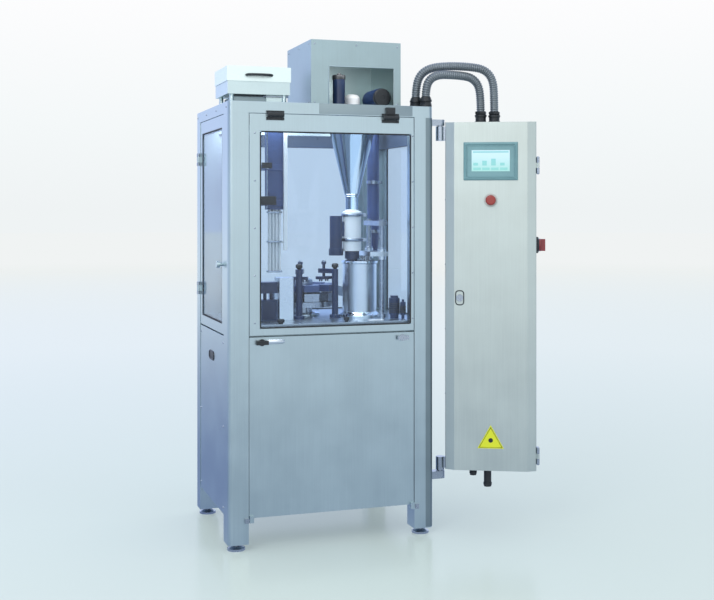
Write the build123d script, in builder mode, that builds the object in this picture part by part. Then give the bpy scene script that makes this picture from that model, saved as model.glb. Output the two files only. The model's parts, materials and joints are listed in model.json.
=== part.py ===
from build123d import *

import os
from math import cos, radians, sin, tan

# Rotary capsule filling machine. Millimetres, +Z up, +X to the operator's right, the operator
# at -Y. The origin is on the floor, at the centre of the whole machine's box.

# Driving dimensions of the machine body, in its own frame: centre of the footprint, on the floor
MACHINE_X, MACHINE_Y = -229, 83
WIDTH, DEPTH, ROOF_TOP = 830, 640, 1700
ROOF_UNDER = 1656
POST, POST_WALL, CORNER_RADIUS = 80, 3, 18
FOOT_TOP = 26
PANEL_LOW, PANEL_HIGH = 124, 806
GLAZED_LOW, GLAZED_HIGH = 812, 1654
TABLE_TOP, TABLE_THICK = 850, 40
SHEET = 2.5
PANE = 5
GAP = 2
FIT = 0.05
HALF_W, HALF_D = WIDTH / 2, DEPTH / 2
INNER_X, INNER_Y = HALF_W - POST, HALF_D - POST

# Turret and the stations round it
TURRET_X, TURRET_Y, TURRET_R = -15, 70, 140
STATIONS = 8
TURRET_BASE, TURRET_DISC = 890, 912
LOWER_SEGMENT_Z, UPPER_SEGMENT_Z = (914, 946), (954, 980)
SEGMENT_INNER, SEGMENT_WIDTH = 92, 64
HEAD_ROD_REACH, CAPSULE_BORE_YS, CAPSULE_BORE_R = 122, (-24, -12, 12, 24), 3.6
HUB_R, HUB_TOP, SHAFT_R, GUIDE_R, GUIDE_Z = 42, 1000, 40, 5, 931
STATION_REACH = 185

# Powder line
POWDER_X, POWDER_Y = 160, -60
DOSING_X, DOSING_Y, DOSING_R = 193, -60, 70
DOSING_FLOOR, DOSING_TOP = 962, 1075
TAMP_COLUMN_X, TAMP_COLUMN_YS = 262, (-140, 20)

# Capsule line
CHUTE_X, CHUTE_Y = (-225, -160), (-175, -125)

# Control cabinet, hung beside the right front post and turned towards the operator
CABINET_X, CABINET_Y, CABINET_TURN = 467, -320, -25
CABINET_W, CABINET_D = 360, 250
CABINET_LOW, CABINET_TOP = 254, 1639
SWIVEL_U, SWIVEL_V = -22, 22
DOOR_HINGE_U, DOOR_HINGE_V = 366, -6
DOOR_HINGE_ZS = (315, 1465)

# Corrugated conduits from the roof to the cabinet, as points of their routes
CONDUIT_R = 17.5
CONDUIT_ROUTES = {
    "conduit_a": [
        (370, -245, 1726),
        (370, -245, 1776),
        (385, -247, 1832),
        (430, -252, 1863),
        (505, -262, 1872),
        (590, -273, 1871),
        (655, -283, 1862),
        (691, -288.4, 1822),
        (696.6, -289.1, 1746),
        (696.6, -289.1, 1670),
    ],
    "conduit_b": [
        (396, -288, 1726),
        (396, -288, 1768),
        (410, -287, 1810),
        (450, -284, 1832),
        (505, -279, 1834),
        (560, -274, 1833),
        (605, -270, 1827),
        (638, -267, 1797),
        (646.7, -265.9, 1734),
        (646.7, -265.9, 1672),
    ],
}

MACHINE = Plane(origin=(MACHINE_X, MACHINE_Y, 0), x_dir=(1, 0, 0), z_dir=(0, 0, 1))
CABINET = Plane(
    origin=(MACHINE_X + CABINET_X, MACHINE_Y + CABINET_Y, 0),
    x_dir=(cos(radians(CABINET_TURN)), sin(radians(CABINET_TURN)), 0),
    z_dir=(0, 0, 1),
)
SWIVEL = CABINET.from_local_coords((SWIVEL_U, SWIVEL_V, 0)) - Vector(MACHINE_X, MACHINE_Y, 0)


def block(x, y, z, mode=Mode.ADD):
    """A box between two values on each axis."""
    with Locations(((x[0] + x[1]) / 2, (y[0] + y[1]) / 2, (z[0] + z[1]) / 2)):
        Box(x[1] - x[0], y[1] - y[0], z[1] - z[0], mode=mode)


def rod(along, centre, radius, span, mode=Mode.ADD):
    """A round bar along one axis, with its centre given on the other two."""
    middle = (span[0] + span[1]) / 2
    places = {
        "x": ((middle, *centre), (0, 90, 0)),
        "y": ((centre[0], middle, centre[1]), (90, 0, 0)),
        "z": ((*centre, middle), (0, 0, 0)),
    }
    place, turn = places[along]
    with Locations(place):
        Cylinder(radius, span[1] - span[0], rotation=turn, mode=mode)


def taper(centre, radii, z, mode=Mode.ADD):
    """An upright cone between two levels."""
    with Locations((*centre, (z[0] + z[1]) / 2)):
        Cone(radii[0], radii[1], z[1] - z[0], mode=mode)


def pan(x, y, z, open_side, wall=SHEET):
    """A folded sheet cover: a box with one side left open, such as "+y"."""
    block(x, y, z)
    spans = {"x": x, "y": y, "z": z}
    inner = {axis: [low + wall, high - wall] for axis, (low, high) in spans.items()}
    side, axis = open_side
    end = 1 if side == "+" else 0
    inner[axis][end] = spans[axis][end]
    block(inner["x"], inner["y"], inner["z"], Mode.SUBTRACT)


def posts_at(x, y):
    """Four points, mirrored left to right and front to back."""
    return [(sx * x, sy * y) for sx in (-1, 1) for sy in (-1, 1)]


def finish(node, name):
    """Labels a finished piece and writes it."""
    node.part.label = name
    export_step(node.part, f"parts/{name}.step")


os.makedirs("parts", exist_ok=True)

# ---------------------------------------------------------------- frame

# Four square tubes with a folded outer corner and a closed foot
with BuildPart(MACHINE) as frame_posts:
    for side_x, side_y in posts_at(1, 1):
        centre = (side_x * (HALF_W - POST / 2), side_y * (HALF_D - POST / 2))
        with BuildSketch(MACHINE.offset(FOOT_TOP)) as outline:
            with Locations(centre):
                Rectangle(POST, POST)
            fillet(outline.vertices().sort_by(Axis((0, 0, 0), (side_x, side_y, 0)))[-1], CORNER_RADIUS)
        extrude(amount=ROOF_UNDER - FOOT_TOP)
        with BuildSketch(MACHINE.offset(FOOT_TOP + 2 * POST_WALL)) as bore:
            with Locations(centre):
                Rectangle(POST - 2 * POST_WALL, POST - 2 * POST_WALL)
            fillet(
                bore.vertices().sort_by(Axis((0, 0, 0), (side_x, side_y, 0)))[-1],
                CORNER_RADIUS - POST_WALL,
            )
        extrude(amount=ROOF_UNDER - FOOT_TOP, mode=Mode.SUBTRACT)
finish(frame_posts, "frame_posts")

# Rails between the posts at the floor, under the table and under the roof, and the bed plate
RAIL, RAIL_INSET, FRONT_INSET = 30, 24, 34
BED_TOP, BED_THICK = 175, 10
RAIL_LEVELS = ((130, BED_TOP - BED_THICK), (772, TABLE_TOP - TABLE_THICK), (1611, ROOF_UNDER))
with BuildPart(MACHINE) as frame_rails:
    for level in RAIL_LEVELS:
        block((-INNER_X, INNER_X), (-HALF_D + FRONT_INSET, -HALF_D + FRONT_INSET + RAIL), level)
        block((-INNER_X, INNER_X), (HALF_D - RAIL_INSET - RAIL, HALF_D - RAIL_INSET), level)
        block((-HALF_W + RAIL_INSET, -HALF_W + RAIL_INSET + RAIL), (-INNER_Y, INNER_Y), level)
        block((HALF_W - RAIL_INSET - RAIL, HALF_W - RAIL_INSET), (-INNER_Y, INNER_Y), level)
    block((-INNER_X, INNER_X), (-INNER_Y, INNER_Y), (BED_TOP - BED_THICK, BED_TOP))
finish(frame_rails, "frame_rails")

# Levelling feet: a low pad with a sloped shoulder and a stem under each post
FOOT_R, SHOULDER_R, STEM_R = 34, 18, 11
PAD_TOP, SHOULDER_TOP = 8, 15
with BuildPart(MACHINE) as levelling_feet:
    for centre in posts_at(HALF_W - POST / 2, HALF_D - POST / 2):
        rod("z", centre, FOOT_R, (0, PAD_TOP))
        taper(centre, (FOOT_R - 3, SHOULDER_R), (PAD_TOP, SHOULDER_TOP))
        rod("z", centre, STEM_R, (SHOULDER_TOP, FOOT_TOP))
finish(levelling_feet, "levelling_feet")

# Table plate between the posts, with holes for the two driven shafts
TABLE_FRONT, TURRET_HOLE_R, DOSING_HOLE_R = -HALF_D + 28, SHAFT_R + 12, 30
with BuildPart(MACHINE) as table_plate:
    table_span = (TABLE_TOP - TABLE_THICK, TABLE_TOP)
    block((-INNER_X, INNER_X), (TABLE_FRONT, HALF_D - RAIL_INSET), table_span)
    block((-HALF_W + RAIL_INSET, HALF_W - RAIL_INSET), (-INNER_Y, INNER_Y), table_span)
    rod("z", (TURRET_X, TURRET_Y), TURRET_HOLE_R, table_span, Mode.SUBTRACT)
    rod("z", (DOSING_X, DOSING_Y), DOSING_HOLE_R, table_span, Mode.SUBTRACT)
finish(table_plate, "table_plate")

# Roof: a folded cover with round vertical corners, cut for the hopper and the capsule chute
HOPPER_TOP_R, ROOF_SHEET = 112, 4
CHUTE_CLEARANCE = 3
with BuildPart(MACHINE) as roof_plate:
    with BuildSketch(MACHINE.offset(ROOF_UNDER)):
        RectangleRounded(WIDTH, DEPTH, CORNER_RADIUS)
    extrude(amount=ROOF_TOP - ROOF_UNDER)
    fillet(roof_plate.faces().sort_by(Axis.Z)[-1].edges(), 3)
    with BuildSketch(MACHINE.offset(ROOF_UNDER)):
        RectangleRounded(WIDTH - 2 * ROOF_SHEET, DEPTH - 2 * ROOF_SHEET, CORNER_RADIUS - ROOF_SHEET)
    extrude(amount=ROOF_TOP - ROOF_UNDER - ROOF_SHEET, mode=Mode.SUBTRACT)
    roof_span = (ROOF_UNDER, ROOF_TOP + 1)
    rod("z", (POWDER_X, POWDER_Y), HOPPER_TOP_R + 4, roof_span, Mode.SUBTRACT)
    chute_hole_x = (CHUTE_X[0] - CHUTE_CLEARANCE, CHUTE_X[1] + CHUTE_CLEARANCE)
    chute_hole_y = (CHUTE_Y[0] - CHUTE_CLEARANCE, CHUTE_Y[1] + CHUTE_CLEARANCE)
    block(chute_hole_x, chute_hole_y, roof_span, Mode.SUBTRACT)
finish(roof_plate, "roof_plate")

# Lower side and rear panels: folded covers set between the posts
SKIN = 20
with BuildPart(MACHINE) as lower_panels:
    side_y = (-INNER_Y + GAP, INNER_Y - GAP)
    rear_x = (-INNER_X + GAP, INNER_X - GAP)
    panel_z = (PANEL_LOW, PANEL_HIGH)
    pan((-HALF_W + GAP, -HALF_W + GAP + SKIN), side_y, panel_z, "+x")
    pan((HALF_W - GAP - SKIN, HALF_W - GAP), side_y, panel_z, "-x")
    pan(rear_x, (HALF_D - GAP - SKIN, HALF_D - GAP), panel_z, "-y")
finish(lower_panels, "lower_panels")

# ---------------------------------------------------------------- windows and doors

WINDOW_RIM, WINDOW_DEPTH, PANE_INSET = 38, 12, 9
SIDE_FRAME_Y = (-INNER_Y + GAP, INNER_Y - GAP)
SIDE_PANE_Y = (-INNER_Y + GAP + WINDOW_RIM, INNER_Y - GAP - WINDOW_RIM)
PANE_Z = (GLAZED_LOW + WINDOW_RIM, GLAZED_HIGH - WINDOW_RIM - 10)
REAR_FRAME_X = (-INNER_X + GAP, INNER_X - GAP)
REAR_PANE_X = (-INNER_X + GAP + WINDOW_RIM, INNER_X - GAP - WINDOW_RIM)
RIGHT_FRAME_X = (HALF_W - GAP - WINDOW_DEPTH, HALF_W - GAP)
RIGHT_PANE_X = (HALF_W - GAP - PANE_INSET, HALF_W - GAP - PANE_INSET + PANE)
REAR_FRAME_Y = (HALF_D - GAP - WINDOW_DEPTH, HALF_D - GAP)
REAR_PANE_Y = (HALF_D - GAP - PANE_INSET, HALF_D - GAP - PANE_INSET + PANE)

# Fixed window frames, right and rear
with BuildPart(MACHINE) as window_frames:
    block(RIGHT_FRAME_X, SIDE_FRAME_Y, (GLAZED_LOW, GLAZED_HIGH))
    block(RIGHT_FRAME_X, SIDE_PANE_Y, PANE_Z, Mode.SUBTRACT)
    block(REAR_FRAME_X, REAR_FRAME_Y, (GLAZED_LOW, GLAZED_HIGH))
    block(REAR_PANE_X, REAR_FRAME_Y, PANE_Z, Mode.SUBTRACT)
finish(window_frames, "window_frames")

# Their clear panes
with BuildPart(MACHINE) as window_panes:
    block(RIGHT_PANE_X, SIDE_PANE_Y, PANE_Z)
    block(REAR_PANE_X, REAR_PANE_Y, PANE_Z)
finish(window_panes, "window_panes")

# Front door, hung from its top edge. The left stile is the wide one.
FRONT_FRAME_X = (-INNER_X + GAP, INNER_X - GAP)
FRONT_FRAME_Y = (-HALF_D, -HALF_D + WINDOW_DEPTH)
FRONT_PANE_X, FRONT_PANE_Z = (-292, 321), (838, 1588)
with BuildPart(MACHINE) as front_door_frame:
    block(FRONT_FRAME_X, FRONT_FRAME_Y, (GLAZED_LOW, GLAZED_HIGH))
    block(FRONT_PANE_X, FRONT_FRAME_Y, FRONT_PANE_Z, Mode.SUBTRACT)
    fillet(front_door_frame.faces().sort_by(Axis.Y)[0].edges(), 1.5)
finish(front_door_frame, "front_door_frame")

with BuildPart(MACHINE) as front_door_pane:
    block(FRONT_PANE_X, (-HALF_D + 4, -HALF_D + 4 + PANE), FRONT_PANE_Z)
finish(front_door_pane, "front_door_pane")

# Black fittings on the roof: the front door's fixed hinge halves, the door's safety switch over
# the right hinge, and the conduits' sockets
HINGE_Y, HINGE_Z, KNUCKLE_R, PIN_R = -HALF_D - 10, 1650, 9, 3.5
HINGE_XS = (-233, 233)
HINGE_REACH, LEAF_REACH, HINGE_PLATE = 35, 14.5, 5
KNUCKLE_SPANS = ((-32, -LEAF_REACH - 0.5), (LEAF_REACH + 0.5, 32))
DOOR_SWITCH_X, DOOR_SWITCH_Z = (HINGE_XS[1] - 20, HINGE_XS[1] + 17), (HINGE_Z + 14, HINGE_Z + 40)
with BuildPart(MACHINE) as roof_fittings:
    plate_y = (-HALF_D - HINGE_PLATE, -HALF_D)
    for hinge_x in HINGE_XS:
        for low, high in KNUCKLE_SPANS:
            span = (hinge_x + low, hinge_x + high)
            rod("x", (HINGE_Y, HINGE_Z), KNUCKLE_R, span)
            block(span, (HINGE_Y, plate_y[0] + 1), (HINGE_Z + 4, HINGE_Z + 10))
        rod("x", (HINGE_Y, HINGE_Z), PIN_R, (hinge_x - LEAF_REACH - 2, hinge_x + LEAF_REACH + 2))
        block((hinge_x - HINGE_REACH, hinge_x + HINGE_REACH), plate_y, (HINGE_Z + 9, HINGE_Z + 16))
    block(DOOR_SWITCH_X, (HINGE_Y - 2, -HALF_D), DOOR_SWITCH_Z)
    for route in CONDUIT_ROUTES.values():
        rod("z", route[0][:2], CONDUIT_R + 6.5, (ROOF_TOP, ROOF_TOP + 10))
        rod("z", route[0][:2], CONDUIT_R + 3, (ROOF_TOP + 8, route[0][2]))
finish(roof_fittings, "roof_fittings")

with BuildPart(MACHINE) as front_hinge_leaves:
    for hinge_x in HINGE_XS:
        span = (hinge_x - LEAF_REACH, hinge_x + LEAF_REACH)
        rod("x", (HINGE_Y, HINGE_Z), KNUCKLE_R, span)
        block(span, (HINGE_Y, plate_y[0] + 1), (HINGE_Z - 10, HINGE_Z - 4))
        block((hinge_x - HINGE_REACH, hinge_x + HINGE_REACH), plate_y, (HINGE_Z - 20, HINGE_Z - 9))
        rod("x", (HINGE_Y, HINGE_Z), PIN_R + FIT, span, Mode.SUBTRACT)
finish(front_hinge_leaves, "front_hinge_leaves")

# Left side door, hung at its rear edge, with a round knob at its front edge
SIDE_HINGE_X, SIDE_HINGE_Y = -HALF_W - 8, INNER_Y - 4
SIDE_HINGE_ZS, SIDE_LEAF, SIDE_HINGE_REACH = (960, 1500), 12, 26
SIDE_KNUCKLE_R, SIDE_PIN_R, LEAF_GAP = 6, 3, 0.5
KNOB_Z, KNOB_R = 1080, 13
LEFT_FRAME_X = (-HALF_W + GAP, -HALF_W + GAP + WINDOW_DEPTH)
with BuildPart(MACHINE) as left_door_frame:
    block(LEFT_FRAME_X, SIDE_FRAME_Y, (GLAZED_LOW, GLAZED_HIGH))
    block(LEFT_FRAME_X, SIDE_PANE_Y, PANE_Z, Mode.SUBTRACT)
    knob_centre = (SIDE_FRAME_Y[0] + WINDOW_RIM / 2, KNOB_Z)
    rod("x", knob_centre, KNOB_R / 2, (-HALF_W - 12, -HALF_W + GAP))
    rod("x", knob_centre, KNOB_R, (-HALF_W - 24, -HALF_W - 12))
    for hinge_z in SIDE_HINGE_ZS:
        span = (hinge_z - SIDE_LEAF, hinge_z + SIDE_LEAF)
        rod("z", (SIDE_HINGE_X, SIDE_HINGE_Y), SIDE_KNUCKLE_R, span)
        block((SIDE_HINGE_X, -HALF_W + GAP), (SIDE_HINGE_Y - SIDE_KNUCKLE_R, SIDE_HINGE_Y), span)
        rod("z", (SIDE_HINGE_X, SIDE_HINGE_Y), SIDE_PIN_R + FIT, span, Mode.SUBTRACT)
finish(left_door_frame, "left_door_frame")

with BuildPart(MACHINE) as left_door_pane:
    block((-HALF_W + GAP + 4, -HALF_W + GAP + 4 + PANE), SIDE_PANE_Y, PANE_Z)
finish(left_door_pane, "left_door_pane")

# Lower front cover: drops open on two pins at its bottom corners
COVER_Y = (-HALF_D + 2, -HALF_D + 2 + SKIN)
COVER_HINGE_Y, COVER_HINGE_Z, COVER_PIN_R = -HALF_D - 2, 116, 4
LATCH_XS = {"cover_latch_left": -284, "cover_latch_right": 284}
LATCH_Z, LATCH_R, LATCH_CAM_REACH = 786, 9, 15
with BuildPart(MACHINE) as lower_front_cover:
    pan((-INNER_X + GAP, INNER_X - GAP), COVER_Y, (PANEL_LOW, PANEL_HIGH), "+y")
    for lug_x in ((-INNER_X + GAP, -INNER_X + 18), (INNER_X - 18, INNER_X - GAP)):
        block(lug_x, (COVER_HINGE_Y - 8, COVER_HINGE_Y + 12), (COVER_HINGE_Z - 8, PANEL_LOW + 10))
        rod("x", (COVER_HINGE_Y, COVER_HINGE_Z), COVER_PIN_R + FIT, lug_x, Mode.SUBTRACT)
    for latch_x in LATCH_XS.values():
        rod("y", (latch_x, LATCH_Z), LATCH_R + FIT, COVER_Y, Mode.SUBTRACT)
finish(lower_front_cover, "lower_front_cover")

# Quarter-turn latches with a flat wing grip outside and a cam inside
for name, latch_x in LATCH_XS.items():
    with BuildPart(MACHINE) as cover_latch:
        rod("y", (latch_x, LATCH_Z), LATCH_R, (COVER_Y[0] - 3, COVER_Y[0] + 12))
        rod("y", (latch_x, LATCH_Z), LATCH_R + 4, (COVER_Y[0] - 6, COVER_Y[0] - 0.5))
        block((latch_x - 23, latch_x + 23), (COVER_Y[0] - 17, COVER_Y[0] - 5), (LATCH_Z - 8, LATCH_Z + 8))
        cam_x = (latch_x - 6, latch_x + LATCH_CAM_REACH)
        block(cam_x, (COVER_Y[0] + 10, COVER_Y[0] + 13), (LATCH_Z - 6, LATCH_Z + 6))
    finish(cover_latch, name)

# ---------------------------------------------------------------- capsule line

# Capsule hopper on the roof, with a discharge neck and four short legs
HOPPER_X, HOPPER_Y, HOPPER_Z = (-392, -143), (-204, 27), (1738, 1840)
with BuildPart(MACHINE) as capsule_hopper:
    pan(HOPPER_X, HOPPER_Y, HOPPER_Z, "+z")
    neck_x, neck_y = (CHUTE_X[0] - 8, CHUTE_X[1] + 8), (CHUTE_Y[0] - 8, CHUTE_Y[1] + 8)
    block(neck_x, neck_y, (ROOF_TOP, HOPPER_Z[0]))
    block(CHUTE_X, CHUTE_Y, (ROOF_TOP, HOPPER_Z[0] + SHEET), Mode.SUBTRACT)
    hopper_middle = ((HOPPER_X[0] + HOPPER_X[1]) / 2, (HOPPER_Y[0] + HOPPER_Y[1]) / 2)
    for leg_x, leg_y in posts_at(105, 96):
        leg = (hopper_middle[0] + leg_x, hopper_middle[1] + leg_y)
        rod("z", leg, 9, (ROOF_TOP, HOPPER_Z[0] + 1))
finish(capsule_hopper, "capsule_hopper")

# Its lid hinges at the rear and has skirts on the other three sides
LID_DROP = 58
LID_HINGE_Y, LID_HINGE_Z = HOPPER_Y[1] + 10, HOPPER_Z[1] + 3
LID_EAR_XS, LID_EAR, LID_KNUCKLE_R, LID_PIN_R = (HOPPER_X[0] + 37, HOPPER_X[1] - 67), 30, 3.5, 1.5
with BuildPart(MACHINE) as capsule_hopper_lid:
    lid_x = (HOPPER_X[0] - 3, HOPPER_X[1] + 3)
    lid_y = (HOPPER_Y[0] - 3, HOPPER_Y[1] + 2)
    lid_z = (HOPPER_Z[1] + 6 - LID_DROP, HOPPER_Z[1] + 6)
    block(lid_x, lid_y, lid_z)
    skirt_x, skirt_y = (lid_x[0] + 2, lid_x[1] - 2), (lid_y[0] + 2, lid_y[1] + 1)
    block(skirt_x, skirt_y, (lid_z[0], lid_z[1] - 3), Mode.SUBTRACT)
    fillet(capsule_hopper_lid.faces().sort_by(Axis.Z)[-1].edges(), 1.5)
    for ear_x in LID_EAR_XS:
        span = (ear_x, ear_x + LID_EAR)
        block(span, (lid_y[1] - 6, LID_HINGE_Y), (HOPPER_Z[1] + 3, HOPPER_Z[1] + 6))
        rod("x", (LID_HINGE_Y, LID_HINGE_Z), LID_KNUCKLE_R, span)
        rod("x", (LID_HINGE_Y, LID_HINGE_Z), LID_PIN_R + FIT, span, Mode.SUBTRACT)
finish(capsule_hopper_lid, "capsule_hopper_lid")

# Magazine: a rectangular chute through the roof, held by two clamps
MAGAZINE_LOW, MAGAZINE_WALL, CLAMP_ZS, CLAMP_HIGH = 1290, 3, (1305, 1444), 22
with BuildPart(MACHINE) as capsule_magazine:
    block(CHUTE_X, CHUTE_Y, (MAGAZINE_LOW, ROOF_TOP - 2))
    for clamp_z in CLAMP_ZS:
        clamp_x = (CHUTE_X[0] - 14, CHUTE_X[1] + 6)
        block(clamp_x, (CHUTE_Y[0] - 8, CHUTE_Y[1] + 8), (clamp_z, clamp_z + CLAMP_HIGH))
    chute_bore_x = (CHUTE_X[0] + MAGAZINE_WALL, CHUTE_X[1] - MAGAZINE_WALL)
    chute_bore_y = (CHUTE_Y[0] + MAGAZINE_WALL, CHUTE_Y[1] - MAGAZINE_WALL)
    block(chute_bore_x, chute_bore_y, (MAGAZINE_LOW, ROOF_TOP - 2), Mode.SUBTRACT)
finish(capsule_magazine, "capsule_magazine")

# Polished rectifying block, and the discharge trough on its bracket
SOWING_X, SOWING_Y = (-240, -178), (-140, -84)
SOWING_RODS, SOWING_ROD_R = ((-222, -112), (-196, -112)), 7
RECTIFIER_X, RECTIFIER_Y, RECTIFIER_TOP = (-172, -106), (-134, -68), 1018
TROUGH_CENTRE, TROUGH_SIZE, TROUGH_WALL, TROUGH_SLOPE = (224, 196, 928), (200, 70, 40), 3, 14
BRACKET_HALF, BRACKET_TOP = 18, 912
with BuildPart(MACHINE) as capsule_guides:
    block(RECTIFIER_X, RECTIFIER_Y, (TABLE_TOP, RECTIFIER_TOP))
    chamfer(capsule_guides.edges().filter_by(Axis.Z), 5)
    bracket_x, bracket_y = [(middle - BRACKET_HALF, middle + BRACKET_HALF) for middle in TROUGH_CENTRE[:2]]
    block(bracket_x, bracket_y, (TABLE_TOP, BRACKET_TOP))
    length, width, high = TROUGH_SIZE
    with Locations(Location(TROUGH_CENTRE, (0, TROUGH_SLOPE, 0))):
        Box(length, width, high)
        with Locations((0, 0, TROUGH_WALL)):
            Box(length + 2, width - 2 * TROUGH_WALL, high, mode=Mode.SUBTRACT)
finish(capsule_guides, "capsule_guides")

with BuildPart(MACHINE) as sowing_head:
    block((SOWING_X[0] - 2, SOWING_X[1] + 1), (SOWING_Y[0], SOWING_Y[1]), (958, 1002))
    for centre in SOWING_RODS:
        rod("z", centre, SOWING_ROD_R, (866, 960))
finish(sowing_head, "sowing_head")

# ---------------------------------------------------------------- powder line

# Powder feeder housing on the roof, open to the front
HOUSING_X, HOUSING_Y, HOUSING_TOP = (-55, 324), (-195, 165), 1965
RECESS_X, RECESS_TOP = (19, 294), 1861
with BuildPart(MACHINE) as powder_housing:
    pan(HOUSING_X, HOUSING_Y, (ROOF_TOP, HOUSING_TOP), "-z", 3)
    block(RECESS_X, (HOUSING_Y[0] - 1, HOUSING_Y[0] + 4), (ROOF_TOP, RECESS_TOP), Mode.SUBTRACT)
finish(powder_housing, "powder_housing")

# Conical powder hopper
CONE_LOW, CONE_TOP, NECK_R = 1350, 1692, 26
TUBE_TOP, TUBE_LOW, TUBE_R = 1274, 1120, 38
AUGER_SHAFT_R = 8
with BuildPart(MACHINE) as powder_hopper:
    centre = (POWDER_X, POWDER_Y)
    taper(centre, (NECK_R + 4, HOPPER_TOP_R), (CONE_LOW, CONE_TOP))
    rod("z", centre, NECK_R, (TUBE_TOP, CONE_LOW + 4))
    rod("z", centre, NECK_R - 4, (TUBE_TOP, CONE_LOW + 4), Mode.SUBTRACT)
    taper(centre, (NECK_R - 4, HOPPER_TOP_R - 3), (CONE_LOW, CONE_TOP), Mode.SUBTRACT)
finish(powder_hopper, "powder_hopper")

# Bar across the hopper's mouth, which carries the auger's bearing
BEARING_BAR_HALF, BEARING_BAR_Z = 12, (CONE_TOP, CONE_TOP + 7)
with BuildPart(MACHINE) as auger_bearing:
    bar_x = (POWDER_X - HOPPER_TOP_R + 1, POWDER_X + HOPPER_TOP_R - 1)
    block(bar_x, (POWDER_Y - BEARING_BAR_HALF, POWDER_Y + BEARING_BAR_HALF), BEARING_BAR_Z)
    rod("z", (POWDER_X, POWDER_Y), AUGER_SHAFT_R + FIT, BEARING_BAR_Z, Mode.SUBTRACT)
finish(auger_bearing, "auger_bearing")

# Auger: a shaft with its flights, shown as stacked discs, and a stirrer bar in the cone
FLIGHT_LOW, FLIGHT_PITCH, FLIGHT_R, FLIGHTS = 1294, 18, 19, 6
with BuildPart(MACHINE) as auger:
    rod("z", (POWDER_X, POWDER_Y), AUGER_SHAFT_R, (FLIGHT_LOW - 8, CONE_TOP + 5))
    for turn in range(FLIGHTS):
        flight_z = FLIGHT_LOW + FLIGHT_PITCH * turn
        rod("z", (POWDER_X, POWDER_Y), FLIGHT_R, (flight_z, flight_z + 3))
    block((POWDER_X - 46, POWDER_X + 46), (POWDER_Y - 5, POWDER_Y + 5), (1560, 1572))
finish(auger, "auger")

# White feeder parts: the domed auger gearbox on its carrier bar, and the feed tube below
GEARBOX_R, TUBE_WALL = 33, 6
with BuildPart(MACHINE) as powder_feeder:
    rod("z", (POWDER_X, POWDER_Y), GEARBOX_R, (ROOF_TOP + 2, ROOF_TOP + 64))
    fillet(powder_feeder.faces().sort_by(Axis.Z)[-1].edges(), 20)
    carrier_y = (POWDER_Y - HOPPER_TOP_R - 8, POWDER_Y + HOPPER_TOP_R + 8)
    block((POWDER_X - 16, POWDER_X + 16), carrier_y, (ROOF_TOP, ROOF_TOP + 6))
    rod("z", (POWDER_X, POWDER_Y), TUBE_R, (TUBE_LOW, TUBE_TOP))
    rod("z", (POWDER_X, POWDER_Y), TUBE_R - TUBE_WALL, (TUBE_LOW, TUBE_TOP), Mode.SUBTRACT)
finish(powder_feeder, "powder_feeder")

# Dark feeder parts: a canister and the gearmotor in the housing, the feed drive and the spout
CANISTER, CANISTER_R, CANISTER_TOP = (78, -140), 25, 1828
MOTOR_X, MOTOR_Z, MOTOR_R, MOTOR_Y = 258, 1746, 36, (-150, -10)
FEED_DRIVE_X, FEED_DRIVE_R, COUPLER_Z = 91, 26, (1180, 1240)
SPOUT_LOW, SPOUT_BORE_R = 1060, 19
with BuildPart(MACHINE) as feeder_drives:
    rod("z", CANISTER, CANISTER_R, (ROOF_TOP, CANISTER_TOP))
    rod("y", (MOTOR_X, MOTOR_Z), MOTOR_R, MOTOR_Y)
    block((MOTOR_X - 22, MOTOR_X + 22), (MOTOR_Y[0] + 10, MOTOR_Y[1] - 20), (ROOF_TOP, ROOF_TOP + 22))
    rod("z", (FEED_DRIVE_X, POWDER_Y), FEED_DRIVE_R, (1128, 1264))
    rod("z", (FEED_DRIVE_X, POWDER_Y), FEED_DRIVE_R + 4, (1102, 1130))
    coupler_x = (POWDER_X - TUBE_R - 16, POWDER_X - TUBE_R)
    block(coupler_x, (POWDER_Y - 14, POWDER_Y + 14), COUPLER_Z)
    rod("z", (POWDER_X, POWDER_Y), TUBE_R, COUPLER_Z, Mode.SUBTRACT)
    rod("z", (POWDER_X, POWDER_Y), SPOUT_BORE_R + 11, (SPOUT_LOW + 28, TUBE_LOW))
    rod("z", (POWDER_X, POWDER_Y), SPOUT_BORE_R + 4, (SPOUT_LOW, SPOUT_LOW + 30))
    rod("z", (POWDER_X, POWDER_Y), SPOUT_BORE_R, (SPOUT_LOW, TUBE_LOW), Mode.SUBTRACT)
finish(feeder_drives, "feeder_drives")

# Dosing bowl on its column
DISC_SHAFT_R, BOWL_WALL = 15, 8
with BuildPart(MACHINE) as dosing_bowl:
    centre = (DOSING_X, DOSING_Y)
    rod("z", centre, DOSING_R, (TABLE_TOP, DOSING_TOP))
    rod("z", centre, DOSING_R - BOWL_WALL, (DOSING_FLOOR, DOSING_TOP), Mode.SUBTRACT)
    rod("z", centre, DISC_SHAFT_R + FIT, (TABLE_TOP, DOSING_FLOOR), Mode.SUBTRACT)
finish(dosing_bowl, "dosing_bowl")

# Dosing disc with its groups of holes
DISC_Z, DISC_GAP, DOSE_RING_R, DOSE_GROUPS = (966, 984), 0.6, 46, 6
with BuildPart(MACHINE) as dosing_disc:
    rod("z", (DOSING_X, DOSING_Y), DOSING_R - BOWL_WALL - DISC_GAP, DISC_Z)
    rod("z", (DOSING_X, DOSING_Y), DISC_SHAFT_R, (780, DISC_Z[0] + 2))
    with Locations((DOSING_X, DOSING_Y, (DISC_Z[0] + DISC_Z[1]) / 2)):
        with PolarLocations(DOSE_RING_R, DOSE_GROUPS):
            with Locations((0, -10, 0), (0, 0, 0), (0, 10, 0)):
                Cylinder(3.5, DISC_Z[1] - DISC_Z[0], mode=Mode.SUBTRACT)
finish(dosing_disc, "dosing_disc")

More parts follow.
